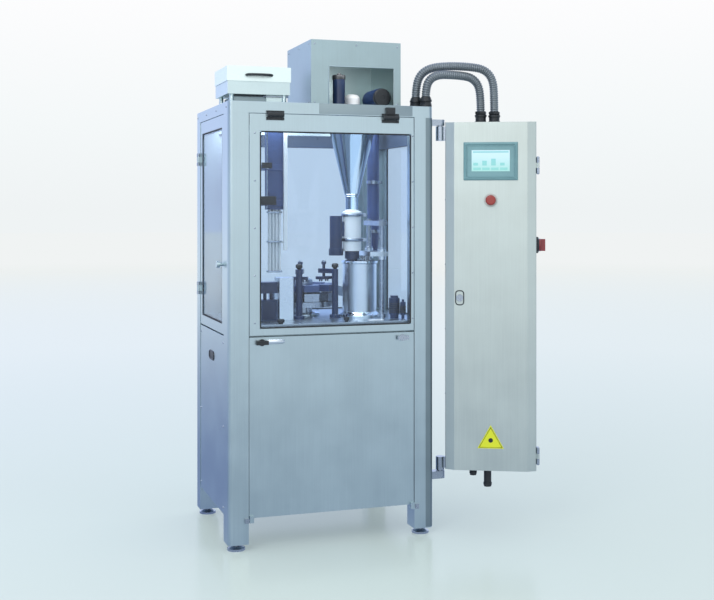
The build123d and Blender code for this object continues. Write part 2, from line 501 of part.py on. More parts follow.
# Tamping head: a plate with pins, sliding on two columns
TAMP_PLATE_X, TAMP_PLATE_Z = (205, 284), (1100, 1118)
TAMP_COLUMN_R = 10
TAMP_ROWS = [(x, y) for x in (212, 228) for y in (-84, -60, -36)]
with BuildPart(MACHINE) as tamping_head:
    block(TAMP_PLATE_X, (TAMP_COLUMN_YS[0] - 20, TAMP_COLUMN_YS[1] + 20), TAMP_PLATE_Z)
    for column_y in TAMP_COLUMN_YS:
        bush = (TAMP_COLUMN_X, column_y)
        rod("z", bush, 17, (TAMP_PLATE_Z[0] - 14, TAMP_PLATE_Z[1] + 10))
        rod("z", bush, TAMP_COLUMN_R + FIT, (TAMP_PLATE_Z[0] - 14, TAMP_PLATE_Z[1] + 10), Mode.SUBTRACT)
    for pin in TAMP_ROWS:
        rod("z", pin, 4, (1000, TAMP_PLATE_Z[0] + 2))
finish(tamping_head, "tamping_head")

# Guide columns with their bridge
BRIDGE_Z, BRIDGE_REACH = (1224, 1244), 18
with BuildPart(MACHINE) as tamping_columns:
    for column_y in TAMP_COLUMN_YS:
        rod("z", (TAMP_COLUMN_X, column_y), TAMP_COLUMN_R, (TABLE_TOP, BRIDGE_Z[0] + 2))
        rod("z", (TAMP_COLUMN_X, column_y), BRIDGE_REACH, (TABLE_TOP, TABLE_TOP + 14))
    bridge_y = (TAMP_COLUMN_YS[0] - BRIDGE_REACH, TAMP_COLUMN_YS[1] + BRIDGE_REACH)
    block((TAMP_COLUMN_X - BRIDGE_REACH, TAMP_COLUMN_X + BRIDGE_REACH), bridge_y, BRIDGE_Z)
finish(tamping_columns, "tamping_columns")

# ---------------------------------------------------------------- turret

# Indexing turret: disc, hub, shaft and the radial guides of the lower segments
with BuildPart(MACHINE) as turret:
    centre = (TURRET_X, TURRET_Y)
    rod("z", centre, TURRET_R, (TURRET_BASE, TURRET_DISC))
    rod("z", centre, SHAFT_R, (776, TURRET_BASE))
    rod("z", centre, HUB_R, (TURRET_DISC, HUB_TOP))
    fillet(turret.faces().sort_by(Axis.Z)[-1].edges(), 6)
    with Locations((TURRET_X, TURRET_Y, GUIDE_Z)):
        with PolarLocations(0, STATIONS):
            with Locations(((HUB_R + TURRET_R) / 2 - 2, 0, 0)):
                Cylinder(GUIDE_R, TURRET_R - HUB_R - 2, rotation=(0, 90, 0))
finish(turret, "turret")


def turned_about_turret(angle):
    """A plane on the turret's axis, with its x axis turned to an angle."""
    turn = radians(angle)
    origin = (MACHINE_X + TURRET_X, MACHINE_Y + TURRET_Y, 0)
    return Plane(origin=origin, x_dir=(cos(turn), sin(turn), 0), z_dir=(0, 0, 1))


def segment(z):
    """One segment block at the station on the turret's +X side, with four capsule bores."""
    block((SEGMENT_INNER, TURRET_R), (-SEGMENT_WIDTH / 2, SEGMENT_WIDTH / 2), z)
    for bore_y in CAPSULE_BORE_YS:
        rod("z", (HEAD_ROD_REACH, bore_y), CAPSULE_BORE_R, z, Mode.SUBTRACT)


# Lower segments, each free to slide out along its guide
for station in range(STATIONS):
    with BuildPart(turned_about_turret(station * 360 / STATIONS)) as lower_segment:
        segment(LOWER_SEGMENT_Z)
        rod("x", (0, GUIDE_Z), GUIDE_R + FIT, (SEGMENT_INNER, TURRET_R), Mode.SUBTRACT)
    finish(lower_segment, f"lower_segment_{station + 1}")

# Upper segments on their common ring, which slides on the hub
with BuildPart(MACHINE) as upper_segments:
    rod("z", (TURRET_X, TURRET_Y), SEGMENT_INNER + 4, (UPPER_SEGMENT_Z[0] + 6, UPPER_SEGMENT_Z[1] - 4))
    with Locations((TURRET_X, TURRET_Y, (UPPER_SEGMENT_Z[0] + UPPER_SEGMENT_Z[1]) / 2)):
        with PolarLocations(0, STATIONS):
            with Locations(((SEGMENT_INNER + TURRET_R) / 2, 0, 0)):
                Box(TURRET_R - SEGMENT_INNER, SEGMENT_WIDTH, UPPER_SEGMENT_Z[1] - UPPER_SEGMENT_Z[0])
            with Locations([(HEAD_ROD_REACH, bore_y, 0) for bore_y in CAPSULE_BORE_YS]):
                Cylinder(CAPSULE_BORE_R, UPPER_SEGMENT_Z[1] - UPPER_SEGMENT_Z[0], mode=Mode.SUBTRACT)
    rod("z", (TURRET_X, TURRET_Y), HUB_R + FIT, (UPPER_SEGMENT_Z[0], UPPER_SEGMENT_Z[1]), Mode.SUBTRACT)
finish(upper_segments, "upper_segments")

# Closing and ejecting stations: dark columns with an arm over the turret and a pressing head
ARM_Z, ARM_INNER, ARM_WIDTH = (1030, 1048), 104, 30
HEAD_ROD_R, HEAD_ROD_TOP, HEAD_Z = 6, 1076, (1004, 1016)
STATION_ANGLES = {"closing_head": -60, "ejecting_head": -110}


def about_turret(angle, reach):
    """A point in the machine's frame, at an angle and a reach from the turret's axis."""
    return (TURRET_X + reach * cos(radians(angle)), TURRET_Y + reach * sin(radians(angle)))


for name, angle in STATION_ANGLES.items():
    with BuildPart(turned_about_turret(angle)) as station_head:
        block((HEAD_ROD_REACH - 16, HEAD_ROD_REACH + 16), (-32, 32), HEAD_Z)
        rod("z", (HEAD_ROD_REACH, 0), HEAD_ROD_R, (HEAD_Z[1] - 2, HEAD_ROD_TOP))
        rod("z", (HEAD_ROD_REACH, 0), HEAD_ROD_R + 4, (HEAD_ROD_TOP - 10, HEAD_ROD_TOP))
        for pin_y in CAPSULE_BORE_YS:
            rod("z", (HEAD_ROD_REACH, pin_y), 3, (HEAD_Z[0] - 8, HEAD_Z[0] + 2))
    finish(station_head, name)

# Dark fixed parts on the table: the sowing guide, the two station arms and the vacuum filters
SOWING_GUIDE_TOP, COLUMN_R = 932, 13
# Each vacuum filter's centre, radius and top
FILTERS = (((296, -196), 22, 932), ((322, -226), 11, 918))
with BuildPart(MACHINE) as station_mounts:
    block(SOWING_X, SOWING_Y, (TABLE_TOP, SOWING_GUIDE_TOP))
    for centre in SOWING_RODS:
        rod("z", centre, SOWING_ROD_R + FIT, (TABLE_TOP + 12, SOWING_GUIDE_TOP), Mode.SUBTRACT)
    for angle in STATION_ANGLES.values():
        column = about_turret(angle, STATION_REACH)
        rod("z", column, COLUMN_R, (TABLE_TOP, ARM_Z[1]))
        rod("z", column, COLUMN_R + 9, (TABLE_TOP, TABLE_TOP + 12))
        arm_middle = about_turret(angle, (ARM_INNER + STATION_REACH) / 2)
        with Locations(Location((*arm_middle, (ARM_Z[0] + ARM_Z[1]) / 2), (0, 0, angle))):
            Box(STATION_REACH - ARM_INNER, ARM_WIDTH, ARM_Z[1] - ARM_Z[0])
        rod("z", about_turret(angle, HEAD_ROD_REACH), HEAD_ROD_R + FIT, ARM_Z, Mode.SUBTRACT)
    for centre, radius, top in FILTERS:
        rod("z", centre, radius, (TABLE_TOP + 16, top))
        rod("z", centre, radius - 5, (TABLE_TOP, TABLE_TOP + 18))
        rod("z", centre, radius - 6, (top - 1, top + 10))
finish(station_mounts, "station_mounts")

# Dust pipe from the roof, narrowing to its nozzle
DUST_PIPE, DUST_PIPE_R, NOZZLE_R, NOZZLE_Z = (306, 92), 26, 17, (1100, 1170)
with BuildPart(MACHINE) as dust_pipe:
    rod("z", DUST_PIPE, DUST_PIPE_R, (NOZZLE_Z[1], ROOF_UNDER))
    taper(DUST_PIPE, (NOZZLE_R, DUST_PIPE_R), NOZZLE_Z)
    rod("z", DUST_PIPE, NOZZLE_R - 3, (NOZZLE_Z[0], ROOF_UNDER), Mode.SUBTRACT)
finish(dust_pipe, "dust_pipe")

# ---------------------------------------------------------------- drive under the table

CAMSHAFT_Y, CAMSHAFT_Z, CAMSHAFT_R = 40, 560, 18
BEARING_XS, BEARING_HALF, BEARING_REACH = (-260, 250), 14, 34
TABLE_UNDER = TABLE_TOP - TABLE_THICK
TURRET_INDEXER, DOSING_INDEXER = (80, 652), (50, 690)
MAIN_MOTOR_X, MAIN_MOTOR_Z, MAIN_MOTOR_R = -210, 330, 62
PUMP_Z, PUMP_R = 320, 78
# Camshaft bearings, the turret's and the dosing disc's indexers, the main motor on its base, and
# the vacuum pump on its base
with BuildPart(MACHINE) as drive_units:
    for x, y, (half, low) in (
        (TURRET_X, TURRET_Y, TURRET_INDEXER),
        (DOSING_X, DOSING_Y, DOSING_INDEXER),
    ):
        block((x - half, x + half), (y - half, y + half), (low, TABLE_UNDER))
    rod("z", (TURRET_X, TURRET_Y), SHAFT_R + FIT, (772, TABLE_UNDER), Mode.SUBTRACT)
    rod("z", (DOSING_X, DOSING_Y), DISC_SHAFT_R + FIT, (776, TABLE_UNDER), Mode.SUBTRACT)
    block((MAIN_MOTOR_X - 80, MAIN_MOTOR_X + 80), (-70, 70), (BED_TOP, MAIN_MOTOR_Z - 30))
    rod("y", (MAIN_MOTOR_X, MAIN_MOTOR_Z), MAIN_MOTOR_R, (-110, 90))
    block((-60, 80), (-90, 90), (BED_TOP, 430))
    rod("x", (0, PUMP_Z), PUMP_R, (80, 300))
    block((120, 260), (-60, 60), (BED_TOP, PUMP_Z - 58))
    for bearing_x in BEARING_XS:
        span = (bearing_x - BEARING_HALF, bearing_x + BEARING_HALF)
        bearing_y = (CAMSHAFT_Y - BEARING_REACH, CAMSHAFT_Y + BEARING_REACH)
        block(span, bearing_y, (CAMSHAFT_Z - BEARING_REACH, TABLE_UNDER))
        rod("x", (CAMSHAFT_Y, CAMSHAFT_Z), CAMSHAFT_R + FIT, span, Mode.SUBTRACT)
finish(drive_units, "drive_units")

# Camshaft with its cams and the handwheel that turns the machine by hand
WHEEL_R, WHEEL_X = 80, (-310, -292)
CAM_XS, CAM_R, CAM_THROW = (-180, -90, 0, 90, 180), 58, 12
with BuildPart(MACHINE) as camshaft:
    rod("x", (CAMSHAFT_Y, CAMSHAFT_Z), CAMSHAFT_R, (-312, 290))
    for cam_x in CAM_XS:
        rod("x", (CAMSHAFT_Y + CAM_THROW, CAMSHAFT_Z), CAM_R, (cam_x - 9, cam_x + 9))
    rod("x", (CAMSHAFT_Y, CAMSHAFT_Z), WHEEL_R, WHEEL_X)
    rod("x", (CAMSHAFT_Y, CAMSHAFT_Z), WHEEL_R - 14, WHEEL_X, Mode.SUBTRACT)
    spoke_x, reach = (WHEEL_X[0] + 2, WHEEL_X[1] - 2), WHEEL_R - 8
    block(spoke_x, (CAMSHAFT_Y - reach, CAMSHAFT_Y + reach), (CAMSHAFT_Z - 7, CAMSHAFT_Z + 7))
    block(spoke_x, (CAMSHAFT_Y - 7, CAMSHAFT_Y + 7), (CAMSHAFT_Z - reach, CAMSHAFT_Z + reach))
    rod("x", (CAMSHAFT_Y, CAMSHAFT_Z), CAMSHAFT_R, (WHEEL_X[0] - 2, WHEEL_X[1] + 2))
finish(camshaft, "camshaft")

# ---------------------------------------------------------------- hinges fixed to the machine

# Fixed halves with their pins: side door, lower cover, hopper lid and the cabinet's two arms
SWIVEL_PIN_R, SWIVEL_BUSH_R, ARM_HALF = 10, 17, 18
# Each arm's levels, and its pin's levels
SWIVEL_ARMS = (((214, 244), (240, 300)), ((1626, 1650), (1566, 1630)))
with BuildPart(MACHINE) as fixed_hinges:
    inner_end = SIDE_LEAF + LEAF_GAP
    for hinge_z in SIDE_HINGE_ZS:
        for low, high in ((-SIDE_HINGE_REACH, -inner_end), (inner_end, SIDE_HINGE_REACH)):
            span = (hinge_z + low, hinge_z + high)
            rod("z", (SIDE_HINGE_X, SIDE_HINGE_Y), SIDE_KNUCKLE_R, span)
            block((SIDE_HINGE_X - 3, -HALF_W), (SIDE_HINGE_Y + 1, INNER_Y + 18), span)
        rod("z", (SIDE_HINGE_X, SIDE_HINGE_Y), SIDE_PIN_R, (hinge_z - 20, hinge_z + 20))
    for side in (-1, 1):
        bracket_x = sorted((side * INNER_X, side * (INNER_X + 16)))
        pin_x = sorted((side * (INNER_X - 16), side * INNER_X))
        block(bracket_x, (COVER_HINGE_Y - 8, -HALF_D), (COVER_HINGE_Z - 8, COVER_HINGE_Z + 10))
        rod("x", (COVER_HINGE_Y, COVER_HINGE_Z), COVER_PIN_R, pin_x)
    for ear_x in LID_EAR_XS:
        ear_end = ear_x + LID_EAR
        for tab_x in ((ear_x - 10, ear_x - LEAF_GAP), (ear_end + LEAF_GAP, ear_end + 10)):
            rod("x", (LID_HINGE_Y, LID_HINGE_Z), LID_KNUCKLE_R, tab_x)
            block(tab_x, (HOPPER_Y[1], LID_HINGE_Y), (LID_HINGE_Z - 13, LID_HINGE_Z - LID_KNUCKLE_R))
            block(tab_x, (LID_HINGE_Y - 3, LID_HINGE_Y + 3), (LID_HINGE_Z - 13, LID_HINGE_Z))
        rod("x", (LID_HINGE_Y, LID_HINGE_Z), LID_PIN_R, (ear_x - 5, ear_end + 5))
    for arm_z, pin_z in SWIVEL_ARMS:
        block((HALF_W, SWIVEL.X), (SWIVEL.Y - ARM_HALF, SWIVEL.Y + ARM_HALF), arm_z)
        rod("z", (SWIVEL.X, SWIVEL.Y), ARM_HALF, arm_z)
        rod("z", (SWIVEL.X, SWIVEL.Y), SWIVEL_PIN_R, pin_z)
finish(fixed_hinges, "fixed_hinges")

# ---------------------------------------------------------------- control cabinet

# Cabinet shell with a lipped door opening
LIP = 30
with BuildPart(CABINET) as cabinet_shell:
    block((0, CABINET_W), (0, CABINET_D), (CABINET_LOW, CABINET_TOP))
    fillet(cabinet_shell.edges().filter_by(Axis.Z), 4)
    inner_z = (CABINET_LOW + SHEET, CABINET_TOP - SHEET)
    block((SHEET, CABINET_W - SHEET), (SHEET, CABINET_D - SHEET), inner_z, Mode.SUBTRACT)
    opening_z = (CABINET_LOW + LIP, CABINET_TOP - LIP)
    block((LIP, CABINET_W - LIP), (-1, SHEET + 1), opening_z, Mode.SUBTRACT)
finish(cabinet_shell, "cabinet_shell")

# Mounting plate with the drives and the terminal rows
# Each unit's span across the plate, its depth and its levels
ELECTRIC_UNITS = (
    ((60, 170), 120, (1270, 1480)),
    ((190, 300), 95, (1290, 1460)),
    ((60, 300), 70, (1080, 1180)),
    ((60, 300), 55, (880, 960)),
    ((60, 210), 110, (560, 780)),
    ((230, 300), 80, (600, 740)),
)
with BuildPart(CABINET) as cabinet_equipment:
    plate_v = (CABINET_D - SHEET - 3, CABINET_D - SHEET)
    block((40, CABINET_W - 40), plate_v, (330, 1560))
    for u, depth, z in ELECTRIC_UNITS:
        block(u, (plate_v[0] - depth, plate_v[0]), z)
finish(cabinet_equipment, "cabinet_equipment")

# Swivel bushes and the fixed halves of the door hinges
SWIVEL_BUSHES = ((247, 300), (1566, 1623))
DOOR_LEAF, DOOR_HINGE_REACH, DOOR_KNUCKLE_R, DOOR_PIN_R = 10, 32, 6, 3
with BuildPart(CABINET) as cabinet_hinges:
    for bush_z in SWIVEL_BUSHES:
        tab_z = (max(bush_z[0], CABINET_LOW + 2), bush_z[1])
        rod("z", (SWIVEL_U, SWIVEL_V), SWIVEL_BUSH_R, bush_z)
        block((SWIVEL_U, 0), (SWIVEL_V - 9, SWIVEL_V + 9), tab_z)
        rod("z", (SWIVEL_U, SWIVEL_V), SWIVEL_PIN_R + FIT, bush_z, Mode.SUBTRACT)
    inner_end = DOOR_LEAF + LEAF_GAP
    for hinge_z in DOOR_HINGE_ZS:
        for low, high in ((-DOOR_HINGE_REACH, -inner_end), (inner_end, DOOR_HINGE_REACH)):
            span = (hinge_z + low, hinge_z + high)
            rod("z", (DOOR_HINGE_U, DOOR_HINGE_V), DOOR_KNUCKLE_R, span)
            block((CABINET_W, CABINET_W + 10), (-4, 28), span)
        rod("z", (DOOR_HINGE_U, DOOR_HINGE_V), DOOR_PIN_R, (hinge_z - 20, hinge_z + 20))
finish(cabinet_hinges, "cabinet_hinges")

# Cable glands under the cabinet, the conduits' lock nuts on top and the switch plate
CONDUIT_US, CONDUIT_V = {"conduit_a": 195, "conduit_b": 140}, 125
SWITCH_V, SWITCH_Z, SWITCH_SHAFT_R = 70, 1148, 8
# Each gland's place across the cabinet, its drop and its radius
GLANDS, GLAND_V = ((110, 34, 13), (168, 78, 15)), 60
with BuildPart(CABINET) as cabinet_fittings:
    for name, u in CONDUIT_US.items():
        rod("z", (u, CONDUIT_V), CONDUIT_R + 8, (CABINET_TOP, CABINET_TOP + 10))
        rod("z", (u, CONDUIT_V), CONDUIT_R + 4, (CABINET_TOP + 8, CONDUIT_ROUTES[name][-1][2]))
    for u, drop, radius in GLANDS:
        rod("z", (u, GLAND_V), radius, (CABINET_LOW - drop, CABINET_LOW))
        rod("z", (u, GLAND_V), radius + 6, (CABINET_LOW - 12, CABINET_LOW))
    plate_half = 32
    switch_v = (SWITCH_V - plate_half, SWITCH_V + plate_half)
    block((CABINET_W, CABINET_W + 8), switch_v, (SWITCH_Z - plate_half, SWITCH_Z + plate_half))
    rod("x", (SWITCH_V, SWITCH_Z), SWITCH_SHAFT_R + FIT, (CABINET_W + 2, CABINET_W + 9), Mode.SUBTRACT)
finish(cabinet_fittings, "cabinet_fittings")

# Cabinet door: a folded sheet with sloped side faces
DOOR_V, BEVEL_U, BEVEL_V = -24, 36, -8
STOP_Z, STOP_STEM_R = 1327, 8
LOCK_U, LOCK_Z, LOCK_R = 58, 940, 9
with BuildPart(CABINET) as cabinet_door:
    for inset, cut in ((0, Mode.ADD), (SHEET, Mode.SUBTRACT)):
        with BuildSketch(CABINET.offset(CABINET_LOW + 2 + inset)):
            with BuildLine():
                Polyline(
                    (GAP + inset, -1),
                    (GAP + inset, BEVEL_V + inset / 2),
                    (BEVEL_U + inset / 2, DOOR_V + inset),
                    (CABINET_W - BEVEL_U - inset / 2, DOOR_V + inset),
                    (CABINET_W - GAP - inset, BEVEL_V + inset / 2),
                    (CABINET_W - GAP - inset, -1),
                    close=True,
                )
            make_face()
        extrude(amount=CABINET_TOP - CABINET_LOW - 4 - 2 * inset, mode=cut)
    rod("y", (CABINET_W / 2, STOP_Z), STOP_STEM_R + FIT, (DOOR_V - 1, -1), Mode.SUBTRACT)
    rod("y", (LOCK_U, LOCK_Z), LOCK_R + FIT, (DOOR_V - 1, -1), Mode.SUBTRACT)
    for hinge_z in DOOR_HINGE_ZS:
        span = (hinge_z - DOOR_LEAF, hinge_z + DOOR_LEAF)
        rod("z", (DOOR_HINGE_U, DOOR_HINGE_V), DOOR_KNUCKLE_R, span)
        block((CABINET_W - GAP - 1, DOOR_HINGE_U), (DOOR_HINGE_V - 1.5, DOOR_HINGE_V + 3), span)
        rod("z", (DOOR_HINGE_U, DOOR_HINGE_V), DOOR_PIN_R + FIT, span, Mode.SUBTRACT)
finish(cabinet_door, "cabinet_door")

# Operator screen: a shallow bezel on the door face
SCREEN_Z, SCREEN_W = (1406, 1557), 214
with BuildPart(CABINET) as operator_screen:
    screen_u = ((CABINET_W - SCREEN_W) / 2, (CABINET_W + SCREEN_W) / 2)
    block(screen_u, (DOOR_V - 9, DOOR_V), SCREEN_Z)
    chamfer(operator_screen.faces().sort_by(Axis((0, 0, 0), CABINET.y_dir))[0].edges(), 4)
finish(operator_screen, "operator_screen")

with BuildPart(CABINET) as emergency_stop:
    rod("y", (CABINET_W / 2, STOP_Z), STOP_STEM_R, (DOOR_V - 14, DOOR_V + 10))
    rod("y", (CABINET_W / 2, STOP_Z), 20, (DOOR_V - 30, DOOR_V - 12))
    fillet(emergency_stop.faces().sort_by(Axis((0, 0, 0), CABINET.y_dir))[0].edges(), 7)
finish(emergency_stop, "emergency_stop")

with BuildPart(CABINET) as cabinet_lock:
    rod("y", (LOCK_U, LOCK_Z), LOCK_R, (DOOR_V - 2, DOOR_V + 14))
    rod("y", (LOCK_U, LOCK_Z), LOCK_R + 5, (DOOR_V - 8, DOOR_V - 1))
    block((LOCK_U - 3, LOCK_U + 3), (DOOR_V - 18, DOOR_V - 7), (LOCK_Z - 12, LOCK_Z + 12))
finish(cabinet_lock, "cabinet_lock")

with BuildPart(CABINET) as main_switch:
    rod("x", (SWITCH_V, SWITCH_Z), SWITCH_SHAFT_R, (CABINET_W + 4, CABINET_W + 16))
    rod("x", (SWITCH_V, SWITCH_Z), 25, (CABINET_W + 9, CABINET_W + 20))
    block((CABINET_W + 19, CABINET_W + 38), (SWITCH_V - 8, SWITCH_V + 8), (SWITCH_Z - 24, SWITCH_Z + 24))
finish(main_switch, "main_switch")

# ---------------------------------------------------------------- conduits

def bend_radii(points):
    """The radius of each bend: as large as the shorter of its two runs allows."""
    radii = []
    for before, corner, after in zip(points, points[1:], points[2:]):
        run_in, run_out = corner - before, after - corner
        half_turn = radians(run_in.get_angle(run_out)) / 2
        radii.append(0.45 * min(run_in.length, run_out.length) / tan(half_turn))
    return radii


for name, route in CONDUIT_ROUTES.items():
    points = [Vector(x + MACHINE_X, y + MACHINE_Y, z) for x, y, z in route]
    radii = bend_radii(points)
    with BuildPart() as conduit:
        with BuildLine() as path:
            FilletPolyline(*points, radius=radii)
        with BuildSketch(Plane(origin=path.line @ 0, z_dir=path.line % 0)):
            Circle(CONDUIT_R)
        sweep()
    print(name, "bend radii", [round(radius) for radius in radii], "length", round(path.wires()[0].length))
    finish(conduit, name)
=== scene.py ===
import json
from contextlib import contextmanager
from math import cos, pi, radians, sin, tau
from random import Random

import bmesh
import bpy
from mathutils import Matrix, Vector


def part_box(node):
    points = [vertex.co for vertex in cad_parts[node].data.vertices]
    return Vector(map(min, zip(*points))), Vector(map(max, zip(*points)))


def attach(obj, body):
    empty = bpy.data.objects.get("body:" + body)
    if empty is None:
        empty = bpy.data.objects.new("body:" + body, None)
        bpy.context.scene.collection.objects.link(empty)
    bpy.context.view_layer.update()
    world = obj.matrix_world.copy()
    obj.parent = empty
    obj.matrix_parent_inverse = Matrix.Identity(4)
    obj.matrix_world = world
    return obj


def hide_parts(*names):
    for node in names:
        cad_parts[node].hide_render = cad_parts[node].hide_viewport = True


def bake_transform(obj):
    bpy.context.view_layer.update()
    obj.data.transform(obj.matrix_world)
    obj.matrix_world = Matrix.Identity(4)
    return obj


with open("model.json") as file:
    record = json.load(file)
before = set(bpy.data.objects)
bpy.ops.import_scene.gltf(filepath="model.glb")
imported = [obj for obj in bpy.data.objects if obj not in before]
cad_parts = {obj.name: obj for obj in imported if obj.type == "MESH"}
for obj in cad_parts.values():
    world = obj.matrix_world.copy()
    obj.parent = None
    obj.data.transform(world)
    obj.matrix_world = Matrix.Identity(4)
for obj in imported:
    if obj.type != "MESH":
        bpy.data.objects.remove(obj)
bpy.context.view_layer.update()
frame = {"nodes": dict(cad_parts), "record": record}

# Rotary capsule filling machine. Shapes are given in millimetres in the machine's own frame: its
# origin is on the floor under the centre of the roof, +X is the operator's right, the operator is
# at -Y. The control cabinet has a frame of its own: u along its face, v back into it, z up.
MM = 0.001
CENTRE = sum(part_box("roof_plate"), Vector()) / 2
MACHINE = Matrix.Translation((CENTRE.x, CENTRE.y, 0)) @ Matrix.Scale(MM, 4)
CABINET_CORNER, CABINET_TURN = (467, -320, 0), radians(-25)
CABINET = MACHINE @ Matrix.Translation(CABINET_CORNER) @ Matrix.Rotation(CABINET_TURN, 4, "Z")

# ---------------------------------------------------------------- camera

CAMERA_PLACE, CAMERA_AIM = (-1315, -4537, 1291), (317, 948, 0)
CAMERA_LENS, CAMERA_SHIFT = 57.6, -0.127

camera = bpy.data.objects.new("camera", bpy.data.cameras.new("camera"))
camera.location = MACHINE @ Vector(CAMERA_PLACE)
camera.rotation_euler = Vector(CAMERA_AIM).to_track_quat("-Z", "Y").to_euler()
camera.data.lens, camera.data.shift_y = CAMERA_LENS, CAMERA_SHIFT
bpy.context.collection.objects.link(camera)
bpy.context.scene.camera = camera
bpy.context.scene.view_settings.view_transform = "Standard"

# ---------------------------------------------------------------- materials


def tone(red, green, blue):
    """A colour from screen values of 0 to 255."""
    def linear(value):
        share = value / 255
        return share / 12.92 if share <= 0.04045 else ((share + 0.055) / 1.055) ** 2.4
    return (linear(red), linear(green), linear(blue), 1)


def add_node(tree, kind, inputs=None, **settings):
    """A shader node with its settings, and its inputs given as values or as sockets to link."""
    made = tree.nodes.new(f"ShaderNode{kind}")
    for name, value in settings.items():
        setattr(made, name, value)
    for name, value in (inputs or {}).items():
        if isinstance(value, bpy.types.NodeSocket):
            tree.links.new(value, made.inputs[name])
        else:
            made.inputs[name].default_value = value
    return made


def ramp(tree, factor, stops):
    """A colour that follows a factor through (position, colour) stops."""
    made = add_node(tree, "ValToRGB", {"Fac": factor})
    elements = made.color_ramp.elements
    while len(elements) < len(stops):
        elements.new(0.5)
    for element, (position, colour) in zip(elements, stops):
        element.position, element.color = position, colour
    return made.outputs["Color"]


def noise(tree, scale, detail=2, stretch=(1, 1, 1)):
    """Noise over the surface, with its scale per metre; a small stretch value draws it out."""
    where = add_node(tree, "TexCoord").outputs["Object"]
    mapped = add_node(tree, "Mapping", {"Vector": where, "Scale": stretch}).outputs[0]
    return add_node(tree, "TexNoise", {"Vector": mapped, "Scale": scale, "Detail": detail}).outputs[0]


def shades(colour, spread):
    """A darker and a lighter shade of a colour."""
    return [(*[min(1, value * (1 + sign * spread)) for value in colour[:3]], 1) for sign in (-1, 1)]


def surface(name, colour, roughness, metallic=0, grain=300, stretch=(1, 1, 1), relief=0.1, mottle=0.05,
            streak=0.05, gloss_spread=0.06, cloud=6, coat=0, worn=0):
    """A material with a fine grain in its relief and gloss and a broad cloud in its colour."""
    material = bpy.data.materials.new(name)
    material.use_nodes = True
    tree = material.node_tree
    shader = tree.nodes["Principled BSDF"]
    shader.inputs["Metallic"].default_value = metallic
    shader.inputs["Coat Weight"].default_value = coat
    fine = noise(tree, grain, 4, stretch)
    broad = noise(tree, cloud, 3)
    dark, light = shades(colour, mottle)
    clouded = ramp(tree, broad, [(0.35, dark), (0.65, light)])
    drawn = ramp(tree, fine, [(0.3, (1 - streak,) * 3 + (1,)), (0.7, (1, 1, 1, 1))])
    layers = {"Fac": 1, "Color1": clouded, "Color2": drawn}
    painted = add_node(tree, "MixRGB", layers, blend_type="MULTIPLY")
    base = painted.outputs[0]
    if worn:
        rounded = add_node(tree, "Bevel", {"Radius": 0.0025}, samples=4).outputs[0]
        flat = add_node(tree, "NewGeometry").outputs["Normal"]
        turned = add_node(tree, "VectorMath", {0: rounded, 1: flat}, operation="DOT_PRODUCT")
        facing = turned.outputs["Value"]
        edge = add_node(tree, "MapRange", {"Value": facing, "From Min": 0.98, "From Max": 0.8}).outputs[0]
        patchy = add_node(tree, "Math", {0: edge, 1: fine}, operation="MULTIPLY").outputs[0]
        bare = shades(colour, worn)[1]
        base = add_node(tree, "MixRGB", {"Fac": patchy, "Color1": base, "Color2": bare}).outputs[0]
    tree.links.new(base, shader.inputs["Base Color"])
    smear = add_node(tree, "Math", {0: fine, 1: broad}, operation="ADD").outputs[0]
    gloss = add_node(tree, "MapRange", {
        "Value": smear, "From Min": 0.7, "From Max": 1.3,
        "To Min": roughness - gloss_spread, "To Max": roughness + gloss_spread,
    }).outputs[0]
    tree.links.new(gloss, shader.inputs["Roughness"])
    bump = add_node(tree, "Bump", {"Height": fine, "Strength": relief, "Distance": 0.0004})
    tree.links.new(bump.outputs[0], shader.inputs["Normal"])
    return material


PANE_IOR = 1.5


def clear(name, tint, haze=0.03):
    """A clear pane: it tints what is seen through it, and its near face mirrors more at a flat angle."""
    material = bpy.data.materials.new(name)
    material.use_nodes = True
    tree = material.node_tree
    tree.nodes.remove(tree.nodes["Principled BSDF"])
    through = add_node(tree, "BsdfTransparent", {"Color": tint}).outputs[0]
    smear = noise(tree, 8, 3)
    rough = add_node(tree, "MapRange", {"Value": smear, "To Min": haze, "To Max": haze + 0.06}).outputs[0]
    mirrored = add_node(tree, "BsdfGlossy", {"Roughness": rough}).outputs[0]
    leaving = add_node(tree, "NewGeometry").outputs["Backfacing"]
    entering = add_node(tree, "Math", {0: 1, 1: leaving}, operation="SUBTRACT").outputs[0]
    fresnel = add_node(tree, "Fresnel", {"IOR": PANE_IOR}).outputs[0]
    share = add_node(tree, "Math", {0: fresnel, 1: entering}, operation="MULTIPLY").outputs[0]
    mixed = add_node(tree, "MixShader", {0: share, 1: through, 2: mirrored}).outputs[0]
    tree.links.new(mixed, tree.nodes["Material Output"].inputs["Surface"])
    return material


def glow(name, low, high, strength, start, end):
    """A lit surface whose colour runs from one level to another."""
    material = bpy.data.materials.new(name)
    material.use_nodes = True
    tree = material.node_tree
    shader = tree.nodes["Principled BSDF"]
    height = add_node(tree, "SeparateXYZ", {0: add_node(tree, "TexCoord").outputs["Object"]}).outputs["Z"]
    share = add_node(tree, "MapRange", {"Value": height, "From Min": start, "From Max": end}).outputs[0]
    colour = ramp(tree, share, [(0, low), (1, high)])
    tree.links.new(colour, shader.inputs["Base Color"])
    tree.links.new(colour, shader.inputs["Emission Color"])
    shader.inputs["Emission Strength"].default_value = strength
    shader.inputs["Roughness"].default_value = 0.15
    return material


